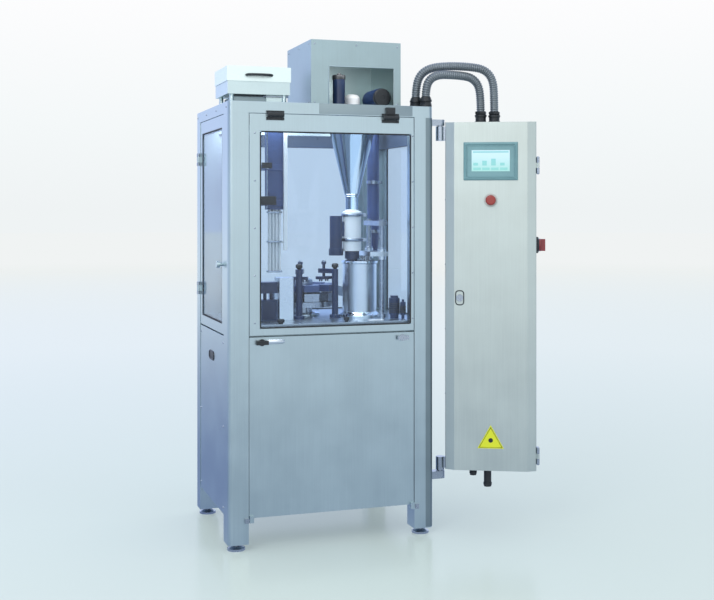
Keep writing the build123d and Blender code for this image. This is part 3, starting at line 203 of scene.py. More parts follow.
UPRIGHT = (1, 1, 0.015)
FINISHES = {
    "steel_body": surface("steel_body", tone(188, 204, 208), 0.34, 1, 260, UPRIGHT, 0.12, 0.035, 0.05),
    "polished_steel": surface(
        "polished_steel", tone(232, 238, 242), 0.13, 1, 500, (1, 1, 1), 0.04, 0.03, 0.02),
    "machined_steel": surface(
        "machined_steel", tone(178, 186, 196), 0.26, 1, 700, (1, 1, 0.2), 0.15, 0.08, 0.1),
    "cabinet_steel": surface("cabinet_steel", tone(206, 214, 207), 0.36, 1, 260, UPRIGHT, 0.12, 0.03, 0.05),
    "clear_pane": clear("clear_pane", tone(243, 248, 253)),
    "black_fittings": surface(
        "black_fittings", tone(34, 38, 42), 0.42, 0, 900, relief=0.3, mottle=0.2, worn=3),
    "dark_drives": surface(
        "dark_drives", tone(30, 50, 86), 0.38, 0, 600, relief=0.2, mottle=0.15, coat=0.2, worn=4),
    "dark_blue": surface(
        "dark_blue", tone(62, 84, 132), 0.4, 0, 600, relief=0.2, mottle=0.15, coat=0.2, worn=2),
    "white_feeder": surface(
        "white_feeder", tone(240, 243, 245), 0.3, 0, 500, relief=0.06, mottle=0.02, coat=0.3),
    "rubber_seals": surface("rubber_seals", tone(46, 48, 52), 0.7, 0, 900, relief=0.5, mottle=0.15),
    "conduit": surface("conduit", tone(128, 136, 142), 0.36, 0.6, 800, relief=0.15, mottle=0.12),
    "screen": surface("screen", tone(116, 158, 166), 0.28, 0.1, 700, relief=0.08, mottle=0.05, coat=0.4),
    "electrics": surface("electrics", tone(196, 198, 196), 0.5, 0, 700, relief=0.2, mottle=0.06),
    "red_button": surface("red_button", tone(150, 48, 40), 0.4, 0, 700, relief=0.05, mottle=0.06, coat=0.5),
    "red_switch": surface("red_switch", tone(142, 42, 46), 0.3, 0, 700, relief=0.05, mottle=0.08, coat=0.4),
}
SIGN_YELLOW = surface("sign_yellow", tone(222, 228, 44), 0.45, 0, 900, relief=0.05, mottle=0.04)
CAPSULE_CREAM = surface(
    "capsule_cream", tone(236, 232, 214), 0.2, 0, 900, relief=0.02, mottle=0.03, coat=0.6)
CAPSULE_GREEN = surface(
    "capsule_green", tone(96, 150, 128), 0.2, 0, 900, relief=0.02, mottle=0.06, coat=0.6)
POWDER = surface("powder", tone(238, 236, 228), 0.9, 0, 1500, relief=0.8, mottle=0.04, cloud=30)
TABLE_STEEL = surface("table_steel", tone(196, 206, 212), 0.32, 1, 420, (1, 0.05, 1), 0.1, 0.05, 0.05)
PALE_STEEL = surface("pale_steel", tone(226, 232, 236), 0.3, 1, 500, (1, 1, 1), 0.06, 0.04, 0.03)
LID_STEEL = surface("lid_steel", tone(236, 248, 243), 0.36, 1, 260, (1, 0.05, 1), 0.12, 0.03, 0.04)
HOPPER_STEEL = surface("hopper_steel", tone(208, 223, 222), 0.36, 1, 260, (1, 0.05, 1), 0.12, 0.04, 0.05)
HOUSING_STEEL = surface("housing_steel", tone(173, 191, 193), 0.42, 1, 260, UPRIGHT, 0.12, 0.05, 0.06)
# A darker steel that paints the shade on the roof's front edge below the housing
SHADED_EDGE_STEEL = surface("shaded_edge_steel", tone(152, 166, 170), 0.36, 1, 260, (0.02, 1, 1), 0.12, 0.04, 0.05)
# A darker steel that paints shade, on the right-hand corner strips and on the base under the hopper
SHADED_STEEL = surface("shaded_steel", tone(140, 154, 158), 0.38, 1, 260, UPRIGHT, 0.12, 0.05, 0.05)
FUNNEL_STEEL = surface("funnel_steel", tone(150, 168, 182), 0.16, 1, 500, (1, 1, 1), 0.04, 0.04, 0.02)
# A dark grey that paints the shade under the roof, on the troughs at the back and right of the chamber
SHADE_GREY = surface("shade_grey", tone(78, 96, 122), 0.45, 0, 700, relief=0.15, mottle=0.1)
WINDOW_PANE = clear("window_pane", tone(232, 241, 251))

# ---------------------------------------------------------------- shapes

AXES = {
    "x": Matrix.Rotation(pi / 2, 4, "Y"),
    "-x": Matrix.Rotation(-pi / 2, 4, "Y"),
    "y": Matrix.Rotation(-pi / 2, 4, "X"),
    "-y": Matrix.Rotation(pi / 2, 4, "X"),
    "z": Matrix.Identity(4),
    "-z": Matrix.Rotation(pi, 4, "X"),
}


@contextmanager
def piece(name, body, slot, place=MACHINE, material=None):
    """Collects shapes in millimetres into one object that rides on a body."""
    shapes = bmesh.new()
    yield shapes
    bmesh.ops.recalc_face_normals(shapes, faces=shapes.faces)
    shapes.transform(place)
    mesh = bpy.data.meshes.new(name)
    shapes.to_mesh(mesh)
    shapes.free()
    mesh.materials.append(material or FINISHES[slot])
    mesh.polygons.foreach_set("use_smooth", [True] * len(mesh.polygons))
    mesh.set_sharp_from_angle(angle=radians(35))
    made = bpy.data.objects.new(name, mesh)
    bpy.context.collection.objects.link(made)
    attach(made, body)


def slab(shapes, x, y, z, edge=1, turn=None):
    """A box between two values on each axis, with its edges broken."""
    made = bmesh.ops.create_cube(shapes, size=1)["verts"]
    size = (x[1] - x[0], y[1] - y[0], z[1] - z[0])
    middle = Vector(((x[0] + x[1]) / 2, (y[0] + y[1]) / 2, (z[0] + z[1]) / 2))
    matrix = Matrix.Translation(middle) @ (turn or Matrix.Identity(4)) @ Matrix.Diagonal((*size, 1))
    bmesh.ops.transform(shapes, matrix=matrix, verts=made)
    edges = list({edge for vert in made for edge in vert.link_edges})
    width = min(edge, min(size) / 3)
    bmesh.ops.bevel(shapes, geom=edges, offset=width, segments=2, affect="EDGES", profile=0.7)


def prism(shapes, ring, z):
    """An upright bar with a flat outline."""
    base = shapes.faces.new([shapes.verts.new((x, y, z[0])) for x, y in ring])
    raised = bmesh.ops.extrude_face_region(shapes, geom=[base])["geom"]
    top = [made for made in raised if isinstance(made, bmesh.types.BMVert)]
    bmesh.ops.translate(shapes, vec=(0, 0, z[1] - z[0]), verts=top)


def lathe(shapes, place, profile, axis="z", sides=28):
    """A turned shape from (radius, height) points along an axis."""
    turn = Matrix.Translation(place) @ (AXES[axis] if isinstance(axis, str) else axis)
    rings = []
    for radius, height in profile:
        count = sides if radius else 1
        angles = [tau * i / sides for i in range(count)]
        ring = [shapes.verts.new(turn @ Vector((radius * cos(a), radius * sin(a), height))) for a in angles]
        rings.append(ring)
    if profile[0] == profile[-1]:
        bmesh.ops.delete(shapes, geom=rings.pop())
        rings.append(rings[0])
    for low, high in zip(rings, rings[1:]):
        for i in range(sides):
            j = (i + 1) % sides
            corners = (low[i % len(low)], low[j % len(low)], high[j % len(high)], high[i % len(high)])
            shapes.faces.new(dict.fromkeys(corners))


def sweep(shapes, points, radius, closed=False, sides=10):
    """A round bar along points; its radius may be a list with one value for each point."""
    points = [Vector(point) for point in points]
    count = len(points)
    radii = radius if isinstance(radius, list) else [radius] * count
    rings, side = [], None
    for i, point in enumerate(points):
        before = points[i - 1] if closed or i else points[0]
        after = points[(i + 1) % count] if closed or i + 1 < count else points[-1]
        along = (after - before).normalized()
        if side is None:
            side = along.orthogonal().normalized()
        side = (side - along * side.dot(along)).normalized()
        up = along.cross(side)
        angles = [tau * k / sides for k in range(sides)]
        rings.append([shapes.verts.new(point + radii[i] * (side * cos(a) + up * sin(a))) for a in angles])
    for low, high in zip(rings, rings[1:] + ([rings[0]] if closed else [])):
        turn = min(range(sides), key=lambda k: (high[k].co - low[0].co).length)
        for k in range(sides):
            j = (k + 1) % sides
            shapes.faces.new((low[k], low[j], high[(j + turn) % sides], high[(k + turn) % sides]))
    if not closed:
        shapes.faces.new(rings[0])
        shapes.faces.new(rings[-1])


def outline(u, v, corner, steps=5):
    """A rectangle with round corners, as points."""
    centres = [(u[1] - corner, v[1] - corner), (u[0] + corner, v[1] - corner),
               (u[0] + corner, v[0] + corner), (u[1] - corner, v[0] + corner)]
    ring = []
    for quarter, (cu, cv) in enumerate(centres):
        for i in range(steps + 1):
            angle = pi / 2 * (quarter + i / steps)
            ring.append((cu + corner * cos(angle), cv + corner * sin(angle)))
    return ring


def circle(centre, radius, count, start=0):
    """Places round a circle, as pairs, from a starting angle."""
    angles = [tau * i / count + start for i in range(count)]
    return [(centre[0] + radius * cos(a), centre[1] + radius * sin(a)) for a in angles]


def coil(shapes, centre, z, radius, turns, wire):
    """An upright helical spring."""
    steps = turns * 14
    angles = [tau * i / 14 for i in range(steps + 1)]
    rise = (z[1] - z[0]) / steps
    sweep(shapes, [
        (centre[0] + radius * cos(a), centre[1] + radius * sin(a), z[0] + rise * i)
        for i, a in enumerate(angles)
    ], wire, sides=6)


def dome_screw(shapes, place, axis, radius=4):
    """A round-head screw with a socket."""
    shares = ((1, 0), (1, 0.25), (0.86, 0.58), (0.55, 0.74), (0.44, 0.7), (0.4, 0.3), (0, 0.3))
    lathe(shapes, place, [(radius * r, radius * h) for r, h in shares], axis, 14)


def hex_bolt(shapes, place, axis, radius=7):
    """A hexagon head on a washer."""
    lathe(shapes, place, [(radius * 1.35, 0), (radius * 1.35, radius * 0.16), (0, radius * 0.16)], axis, 20)
    high = radius * 0.8
    head = [(radius, radius * 0.16), (radius, high * 0.88), (radius * 0.88, high), (0, high)]
    lathe(shapes, place, head, axis, 6)


def capsule(bodies, caps, place, turn, radius=3.4, length=21):
    """A two-part capsule: the wider cap goes over the body."""
    half = length / 2
    arc = [radians(a) for a in (75, 50, 25, 0)]
    low = [(0, -half)] + [(radius * cos(a) * 0.96, -half + radius * (1 - sin(a))) for a in arc]
    high = [(radius * cos(a), half - radius * (1 - sin(a))) for a in reversed(arc)] + [(0, half)]
    lathe(bodies, place, low + [(radius * 0.96, 1)], turn, 10)
    lathe(caps, place, [(radius * 0.97, 0), (radius, 0.3)] + high, turn, 10)


# ---------------------------------------------------------------- carried-over CAD nodes

SOFT_EDGES = {"steel_body": 1.2, "cabinet_steel": 1.5, "screen": 1.5, "white_feeder": 1.5}
NODE_FINISHES = {
    "table_plate": TABLE_STEEL,
    "dosing_bowl": PALE_STEEL,
    "tamping_head": PALE_STEEL,
    "capsule_guides": PALE_STEEL,
    "capsule_hopper": HOPPER_STEEL,
    "capsule_hopper_lid": LID_STEEL,
    "powder_housing": HOUSING_STEEL,
    "powder_hopper": FUNNEL_STEEL,
    "window_panes": WINDOW_PANE,
}
FLAT_SHEETS = {"lower_front_cover"}
for subpart in frame["record"]["subparts"]:
    name, slot = subpart["node"], subpart["material_slot"]
    shown = frame["nodes"][name]
    shown.data.materials.clear()
    shown.data.materials.append(NODE_FINISHES.get(name, FINISHES[slot]))
    if slot not in ("clear_pane", "conduit") and name not in FLAT_SHEETS:
        weld = shown.modifiers.new("weld", "WELD")
        weld.merge_threshold = 0.00001
        bevel = shown.modifiers.new("edges", "BEVEL")
        bevel.width, bevel.segments = SOFT_EDGES.get(slot, 0.6) * MM, 2
        bevel.limit_method, bevel.angle_limit = "ANGLE", radians(40)
        bevel.face_strength_mode = "FSTR_AFFECTED"
        smooth = shown.modifiers.new("normals", "WEIGHTED_NORMAL")
        smooth.keep_sharp, smooth.use_face_influence = True, True

# ---------------------------------------------------------------- conduits

CONDUIT_R, RIB_PITCH, RIB_DEPTH = 17.5, 9, 3
CONDUIT_ROUTES = {
    "conduit_a": [
        (370, -245, 1726),
        (370, -245, 1776),
        (385, -247, 1832),
        (430, -252, 1863),
        (505, -262, 1872),
        (590, -273, 1871),
        (655, -283, 1862),
        (691, -288.4, 1822),
        (696.6, -289.1, 1746),
        (696.6, -289.1, 1670),
    ],
    "conduit_b": [
        (396, -288, 1726),
        (396, -288, 1768),
        (410, -287, 1810),
        (450, -284, 1832),
        (505, -279, 1834),
        (560, -274, 1833),
        (605, -270, 1827),
        (638, -267, 1797),
        (646.7, -265.9, 1734),
        (646.7, -265.9, 1672),
    ],
}


def line_of(name, route):
    """Points along the smooth spline of a route, in metres."""
    curve = bpy.data.curves.new(name, "CURVE")
    curve.dimensions = "3D"
    spline = curve.splines.new("NURBS")
    spline.points.add(len(route) - 1)
    for point, place in zip(spline.points, route):
        point.co = (*(MACHINE @ Vector(place)), 1)
    spline.order_u = 3
    spline.use_endpoint_u = True
    spline.resolution_u = 70
    holder = bpy.data.objects.new(name, curve)
    line = bpy.data.meshes.new_from_object(holder)
    points = [vert.co.copy() for vert in line.vertices]
    bpy.data.objects.remove(holder)
    return points


for name, route in CONDUIT_ROUTES.items():
    points = line_of(name + "_line", route)
    reach, radii = 0, []
    for before, point in zip([points[0]] + points, points):
        reach += (point - before).length / MM
        radii.append((CONDUIT_R - RIB_DEPTH * (0.5 - 0.5 * cos(tau * reach / RIB_PITCH)) ** 2) * MM)
    shapes = bmesh.new()
    sweep(shapes, points, radii, sides=24)
    mesh = bpy.data.meshes.new(name + "_ribbed")
    shapes.to_mesh(mesh)
    shapes.free()
    mesh.materials.append(FINISHES["conduit"])
    mesh.polygons.foreach_set("use_smooth", [True] * len(mesh.polygons))
    ribbed = bpy.data.objects.new(name + "_ribbed", mesh)
    bpy.context.collection.objects.link(ribbed)
    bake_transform(ribbed)
    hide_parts(name)

# Compression nuts where the conduits meet the roof and the cabinet
for body, end, lift in (("machine", 0, 1), ("control_cabinet", -1, -1)):
    with piece(f"conduit_nuts_{body}", body, "black_fittings") as nuts:
        for route in CONDUIT_ROUTES.values():
            x, y, z = route[end]
            upright = "z" if body == "machine" else "-z"
            profile = [(16, 15), (20, 13), (22.5, 4), (24.5, 2), (24.5, -4), (21, -6), (17, -6), (16, 15)]
            lathe(nuts, (x, y, z), profile, upright, 24)
            flange = [(20, -4), (24.8, -4), (24.8, 5), (23, 7), (20, 7), (20, -4)]
            lathe(nuts, (x, y, z - lift * 14), flange, upright, 6)

# Places that several pieces share: heights, and centres across the floor
ROOF, TABLE = 1700, 850
TURRET, FUNNEL, BOWL = (-15, 70), (160, -60), (193, -60)
TAMPING_X, TAMPING_COLUMNS = 262, (-140, 20)

# ---------------------------------------------------------------- panes and panels

SEAL_R = 2.6


def seal(shapes, plane, level, u, v):
    """A rubber seal round a pane, in a plane across one axis."""
    ring = outline((u[0] + SEAL_R, u[1] - SEAL_R), (v[0] + SEAL_R, v[1] - SEAL_R), 6)
    places = [(a, level, b) if plane == "y" else (level, a, b) for a, b in ring]
    sweep(shapes, places, SEAL_R, closed=True, sides=8)


with piece("front_door_seal", "front_door", "rubber_seals") as shapes:
    seal(shapes, "y", -317, (-292, 321), (838, 1588))
with piece("left_door_seal", "left_door", "rubber_seals") as shapes:
    seal(shapes, "x", -410.5, (-200, 200), (850, 1606))
with piece("fixed_window_seals", "machine", "rubber_seals") as shapes:
    seal(shapes, "x", 410.5, (-200, 200), (850, 1606))
    seal(shapes, "y", 315.5, (-295, 295), (850, 1606))

# Rounded angle strips over the two right-hand corners: their bends mirror the darker room on the right,
# and their darker steel paints more shade on these edges
GUARD_BEND, GUARD_ARC = Vector((397, -302)), [radians(-90 + 15 * i) for i in range(7)]
GUARD_RADII, GUARD_FLANGE = (19.2, 17.6), 14
with piece("corner_guards", "machine", "steel_body", material=SHADED_STEEL) as shapes:
    for side in (1, -1):
        outer, inner = [
            [GUARD_BEND + Vector((-GUARD_FLANGE, -radius))]
            + [GUARD_BEND + radius * Vector((cos(a), sin(a))) for a in GUARD_ARC]
            + [GUARD_BEND + Vector((radius, GUARD_FLANGE))]
            for radius in GUARD_RADII
        ]
        prism(shapes, [(x, side * y) for x, y in outer + inner[::-1]], (30, 1654))

# Screws that hold the glazed frames, the lower panels and the roof cover
with piece("front_door_screws", "front_door", "machined_steel") as shapes:
    for x in (-312, 327):
        for z in range(860, 1620, 180):
            dome_screw(shapes, (x, -320, z), "-y", 3.5)
with piece("panel_screws", "machine", "machined_steel") as shapes:
    for z in (150, 460, 780, 830, 1230, 1630):
        for x in (-322, 322):
            dome_screw(shapes, (x, 318, z), "y", 4)
        for y in (-226, 226):
            dome_screw(shapes, (413, y, z), "x", 4)
    for z in (150, 460, 780):
        for y in (-226, 226):
            dome_screw(shapes, (-413, y, z), "-x", 4)
    for x in (-380, -190, 0, 190, 380):
        dome_screw(shapes, (x, 320, 1678), "y", 3.5)
    for y in (-290, -100, 100, 290):
        dome_screw(shapes, (415, y, 1678), "x", 3.5)
        dome_screw(shapes, (-415, y, 1678), "-x", 3.5)
for name, body, z in (("hinge_screws", "machine", 1662.5), ("hinge_leaf_screws", "front_door", 1634)):
    with piece(name, body, "black_fittings") as shapes:
        for x in (-233, 233):
            for offset in (-27, 27):
                dome_screw(shapes, (x + offset, -325, z), "-y", 2.6)
with piece("door_switch_cover", "machine", "black_fittings") as shapes:
    slab(shapes, (216, 247), (-334, -331), (1667, 1687), 1)
    for x in (220, 243):
        dome_screw(shapes, (x, -334, 1677), "-y", 2)

# Louvres in the rear lower panel, and recessed pulls in both side panels
with piece("cooling_louvres", "machine", "steel_body") as shapes:
    profile = [(0, 0), (4, 1), (6.5, 8), (6.5, 152), (4, 159), (0, 160)]
    for row in range(9):
        z = 260 + 34 * row
        for x in (-130, 130):
            lathe(shapes, (x - 80, 318, z), profile, "x", 12)
with piece("side_panel_pulls", "machine", "black_fittings") as shapes:
    for x, axis in ((-413, -1), (413, 1)):
        ring = outline((-46, 46), (690, 722), 15)
        sweep(shapes, [(x, y, z) for y, z in ring], 3.4, closed=True, sides=8)
        slab(shapes, sorted((x - axis * 0.5, x + axis * 0.8)), (-44, 44), (692, 720), 0.3)

# Chrome catch beside the left latch of the lower cover
with piece("cover_catch", "lower_front_cover", "polished_steel") as shapes:
    profile = [(0, 0), (7, 0.5), (10.5, 8), (10.5, 64), (7, 71.5), (0, 72)]
    lathe(shapes, (-268, -319, 789), profile, "x", 20)

# Knobs and a pale cover plate along the table's front edge
with piece("table_knobs", "machine", "black_fittings") as shapes:
    for x, radius in ((-200, 15), (66, 11)):
        neck = radius * 0.6
        profile = [(0, 20), (radius * 0.8, 19), (radius, 15), (radius, 7), (neck, 4), (neck, 0), (0, 0)]
        lathe(shapes, (x, -278, TABLE), profile, sides=24)
with piece("table_cover_plate", "machine", "white_feeder") as shapes:
    ring = outline((160, 220), (-290, -262), 13)
    sweep(shapes, [(x, y, 853) for x, y in ring], 3, closed=True, sides=8)
    slab(shapes, (172, 208), (-289, -263), (TABLE, TABLE + 5), 1.5)

# Lock nuts of the levelling feet
with piece("foot_lock_nuts", "machine", "machined_steel") as shapes:
    for x in (-375, 375):
        for y in (-280, 280):
            nut = [(11, 0), (17, 0), (18.5, 1.5), (18.5, 6), (17, 7.5), (11, 7.5), (11, 0)]
            lathe(shapes, (x, y, 17), nut, sides=6)

# ---------------------------------------------------------------- on the roof

# Capsule hopper: lid handle, leg flanges, neck flange and the empty capsules inside
with piece("hopper_lid_handle", "capsule_hopper_lid", "black_fittings") as shapes:
    bow = [(-268 - 50 * cos(pi * i / 14), -206 - 26 * sin(pi * i / 14) ** 0.5, 1812) for i in range(15)]
    sweep(shapes, bow, 5, sides=12)
with piece("hopper_flanges", "machine", "machined_steel") as shapes:
    for x in (-372.5, -162.5):
        for y in (-184.5, 7.5):
            lathe(shapes, (x, y, ROOF), [(9, 0), (16, 0), (16, 4), (13, 6), (9, 6), (9, 0)], sides=24)
    ring = outline((-239, -146), (-189, -111), 8)
    for z in (1703, 1733):
        sweep(shapes, [(x, y, z) for x, y in ring], 3, closed=True, sides=8)

# Plain base under the hopper, in a darker steel that paints the shade of the gap beneath it, and
# the darker plate on the roof's front edge below the housing, whose darker steel paints shade there
with piece("shaded_hopper_base", "machine", "steel_body", material=SHADED_STEEL) as shapes:
    slab(shapes, (-362, -173), (-176, -3), (1702, 1731), 2)
with piece("roof_edge_shade_plate", "machine", "steel_body", material=SHADED_EDGE_STEEL) as shapes:
    slab(shapes, (-58, 326), (-321.4, -319), (1659, 1699), 0.4)

seeded = Random(11)
with piece("hopper_capsule_bodies", "machine", "white_feeder", material=CAPSULE_CREAM) as shapes:
    with piece("hopper_capsule_caps", "machine", "white_feeder", material=CAPSULE_GREEN) as caps:
        for layer in range(2):
            for i in range(12):
                for j in range(8):
                    turn = Matrix.Rotation(seeded.uniform(0, tau), 4, "Z") @ Matrix.Rotation(
                        pi / 2 + seeded.uniform(-0.3, 0.3), 4, "X")
                    place = (-374 + 19 * i + seeded.uniform(-4, 4), -184 + 27 * j + seeded.uniform(-5, 5),
                             1749 + 7 * layer + seeded.uniform(-1, 1))
                    capsule(shapes, caps, place, turn)

# Powder feeder: cooling ribs on the gearmotor, canister cap, gearbox bolts and housing screws
with piece("feeder_motor_ribs", "machine", "dark_drives") as shapes:
    for i in range(13):
        y = -140 + 9.5 * i
        lathe(shapes, (258, y, 1746), [(35, 0), (39.5, 0), (39.5, 3), (35, 3), (35, 0)], "y", 36)
with piece("feeder_motor_cap", "machine", "black_fittings") as shapes:
    motor_end = [(37, 0), (37, 8), (33, 13), (12, 14), (12, 11), (0, 11)]
    lathe(shapes, (258, -150, 1746), motor_end, "-y", 36)
    canister_cap = [(25, -14), (27, -14), (27, 2), (23, 5), (8, 5), (8, 12), (0, 12)]
    lathe(shapes, (78, -140, 1828), canister_cap, "z", 30)
with piece("gearbox_bolts", "machine", "machined_steel") as shapes:
    for x in (147, 173):
        for y in (-165, -120, 0, 45):
            hex_bolt(shapes, (x, y, 1706), "z", 4.5)
    for x in (-40, 134, 309):
        for z in (1716, 1948):
            if z > 1900 or x != 134:
                dome_screw(shapes, (x, -195, z), "-y", 3.5)
    for z in (1716, 1948):
        for y in (-170, -15, 140):
            dome_screw(shapes, (324, y, z), "x", 3.5)
            dome_screw(shapes, (-55, y, z), "-x", 3.5)
with piece("housing_recess_trim", "machine", "steel_body") as shapes:
    bow = [(19, 1702), (19, 1858), (22, 1861), (291, 1861), (294, 1858), (294, 1702)]
    sweep(shapes, [(x, -196, z) for x, z in bow], 2.2, sides=8)

# ---------------------------------------------------------------- inside the glazed chamber

# Powder hopper: rolled lip, weld beads and the clamps of the feed tube
with piece("powder_hopper_lip", "machine", "polished_steel") as shapes:
    for radius, z, bead in ((112, 1690, 3.5), (31, 1352, 2), (28, 1344, 2)):
        ring = [(x, y, z) for x, y in circle(FUNNEL, radius, 48)]
        sweep(shapes, ring, bead, closed=True, sides=8)
with piece("feed_tube_clamps", "machine", "machined_steel") as shapes:
    for z in (1262, 1160):
        profile = [(38, 0), (43, 0), (45, 3), (45, 9), (43, 12), (38, 12), (38, 0)]
        lathe(shapes, (*FUNNEL, z), profile, sides=40)
        slab(shapes, (198, 214), (-67, -53), (z - 1, z + 13), 2)
        lathe(shapes, (206, -67, z + 6), [(0, 0), (3.5, 0), (3.5, 14), (8, 15), (8, 21), (0, 21)], "-y", 16)
with piece("feed_tube_neck_seal", "machine", "white_feeder") as shapes:
    profile = [(26.5, 0), (40, 0), (40, 5), (36, 9), (29, 11), (26.5, 16), (26.5, 0)]
    lathe(shapes, (*FUNNEL, 1274), profile, sides=40)

# Capsule drop rails between the magazine and the sowing head
with piece("drop_rails", "machine", "white_feeder") as shapes:
    for i in range(4):
        for y in (-158, -142):
            sweep(shapes, [(-213 + 13.5 * i, y, 1290), (-213 + 13.5 * i, y, 1045)], 4.6, sides=12)
with piece("drop_rail_plates", "machine", "machined_steel") as shapes:
    for z in (1042, 1160, 1276):
        slab(shapes, (-221, -164), (-167, -133), (z, z + 7), 2)
with piece("magazine_rods", "machine", "machined_steel") as shapes:
    for x in (-229, -156):
        sweep(shapes, [(x, -179, 1296), (x, -179, 1650)], 3, sides=10)
    for z in (1316, 1455):
        for x in (-229, -156):
            hex_bolt(shapes, (x, -183, z), "-y", 5)

# Capsule magazine: a white guide bar beside it, black clamps, and dark grey troughs under the roof
# at the back and on the right, which paint the shade up there
with piece("magazine_guide_bar", "machine", "white_feeder") as shapes:
    slab(shapes, (-166, -152), (-198, -184), (1130, 1648), 1.5)
    slab(shapes, (-168, -152), (-186, -160), (1159, 1168), 1.5)
with piece("magazine_clamps", "machine", "black_fittings") as shapes:
    slab(shapes, (-262, -196), (-196, -178), (1308, 1342), 2)
    slab(shapes, (-252, -212), (-192, -178), (1452, 1474), 2)
with piece("shade_troughs", "machine", "dark_drives", material=SHADE_GREY) as shapes:
    slab(shapes, (-292, 292), (268, 302), (1560, 1655), 2)
    slab(shapes, (360, 390), (-236, 236), (1552, 1655), 2)
    for x in (-220, -110, 0, 110, 220):
        dome_screw(shapes, (x, 268, 1600), "-y", 3.5)

# Turret: crown bolts, a clamp ring and the capsules that wait in the lower segments
with piece("turret_crown", "turret", "polished_steel") as shapes:
    crown = [(0, 9), (12, 9), (14, 7), (14, 2), (30, 2), (32, 0), (32, -2), (0, -2)]
    lathe(shapes, (*TURRET, 1000), crown, sides=36)
    for x, y in circle(TURRET, 24, 6):
        hex_bolt(shapes, (x, y, 1002), "z", 4)
OPEN_CAPSULE = [(0, -8), (2.2, -7.2), (3.3, -4.5), (3.3, 3.5), (3.0, 4), (2.6, 3.5), (2.6, 0), (0, -0.5)]
for station in range(8):
    turn = MACHINE @ Matrix.Translation((*TURRET, 0)) @ Matrix.Rotation(tau * station / 8, 4, "Z")
    number, body = station + 1, f"lower_segment_{station + 1}"
    with piece(f"waiting_capsules_{number}", body, "white_feeder", turn, CAPSULE_CREAM) as shapes:
        for y in (-24, -12, 12, 24):
            lathe(shapes, (122, y, 942), OPEN_CAPSULE, sides=12)
    with piece(f"segment_screws_{number}", body, "machined_steel", turn) as shapes:
        for y in (-22, 22):
            dome_screw(shapes, (102, y, 946), "z", 3)

# Closing and ejecting stations: lock nuts, clamp knobs and base screws
for body, angle in (("closing_head", -60), ("ejecting_head", -110)):
    turn = MACHINE @ Matrix.Translation((*TURRET, 0)) @ Matrix.Rotation(radians(angle), 4, "Z")
    with piece(f"{body}_nut", body, "machined_steel", turn) as shapes:
        hex_bolt(shapes, (122, 0, 1076), "z", 7)
    with piece(f"{body}_column_knob", "machine", "black_fittings", turn) as shapes:
        profile = [(0, 24), (9, 23), (14, 18), (14, 8), (9, 5), (6, 0), (0, 0)]
        lathe(shapes, (185, 0, 1048), profile, sides=20)
    with piece(f"{body}_base_screws", "machine", "machined_steel", turn) as shapes:
        for x, y in circle((185, 0), 17.5, 4, 0.8):
            dome_screw(shapes, (x, y, 862), "z", 2.6)

# Dosing bowl: rim, base flange and its bolts, and the powder bed
with piece("dosing_bowl_rim", "machine", "polished_steel") as shapes:
    rim = [(62.5, 1068), (62.5, 1079), (66, 1081), (74, 1079), (75, 1074), (74, 1069), (70, 1067)]
    lathe(shapes, (*BOWL, 0), rim + rim[:1], sides=56)
    base = [(70, 850), (84, 850), (84, 858), (80, 862), (74, 866), (70, 872), (70, 850)]
    lathe(shapes, (*BOWL, 0), base, sides=56)
with piece("dosing_bowl_bolts", "machine", "machined_steel") as shapes:
    for x, y in circle(BOWL, 78.5, 8, pi / 8):
        dome_screw(shapes, (x, y, 861), "z", 3)
with piece("dosing_powder", "dosing_disc", "white_feeder", material=POWDER) as shapes:
    profile = [(0, 990), (20, 991), (38, 989), (52, 987), (60, 985.5), (60, 984), (0, 984)]
    lathe(shapes, (*BOWL, 0), profile, sides=40)
with piece("tamping_springs", "tamping_head", "machined_steel") as shapes:
    for x in (212, 228):
        for y in (-84, -60, -36):
            coil(shapes, (x, y), (1062, 1099), 5.6, 7, 0.8)
            lathe(shapes, (x, y, 1054), [(4, 0), (7, 0), (7, 6), (5, 8), (4, 8), (4, 0)], sides=14)
    collar = [(10.6, 9), (15, 9), (15, 15), (13, 17), (10.6, 17), (10.6, 9)]
    for y in TAMPING_COLUMNS:
        lathe(shapes, (TAMPING_X, y, 1118), collar, sides=24)
with piece("tamping_bridge_nuts", "machine", "machined_steel") as shapes:
    for column in TAMPING_COLUMNS:
        hex_bolt(shapes, (TAMPING_X, column, 1244), "z", 10)
        for x, y in circle((TAMPING_X, column), 14, 4, 0.8):
            dome_screw(shapes, (x, y, 864), "z", 2.2)

# Table: raised collars round the shafts and cover screws
with piece("table_collars", "machine", "polished_steel") as shapes:
    profile = [(53, 850), (70, 850), (72, 852), (72, 856), (68, 860), (56, 860), (53, 857), (53, 850)]
    lathe(shapes, (*TURRET, 0), profile, sides=56)
with piece("table_screws", "machine", "machined_steel") as shapes:
    for x in (-310, -120, 110, 310):
        for y in (-270, 270):
            dome_screw(shapes, (x, y, TABLE), "z", 4.5)

# Vacuum filters and the dust pipe: ribs, caps and clips
with piece("filter_caps", "machine", "black_fittings") as shapes:
    for centre, radius, top in (((296, -196), 22, 932), ((322, -226), 11, 918)):
        for i in range(5):
            z = 874 + i * (top - 890) / 5
            rib = [(radius - 1, 0), (radius + 1.5, 1), (radius + 1.5, 4), (radius - 1, 5)]
            lathe(shapes, (*centre, z), rib, sides=24)
with piece("dust_pipe_clips", "machine", "machined_steel") as shapes:
    for z in (1190, 1400, 1630):
        lathe(shapes, (306, 92, z), [(26, 0), (29, 0), (29, 14), (26, 14), (26, 0)], sides=32)
        slab(shapes, (332, 344), (84, 100), (z + 1, z + 13), 1.5)
        dome_screw(shapes, (338, 84, z + 7), "-y", 3)

# ---------------------------------------------------------------- drive under the table

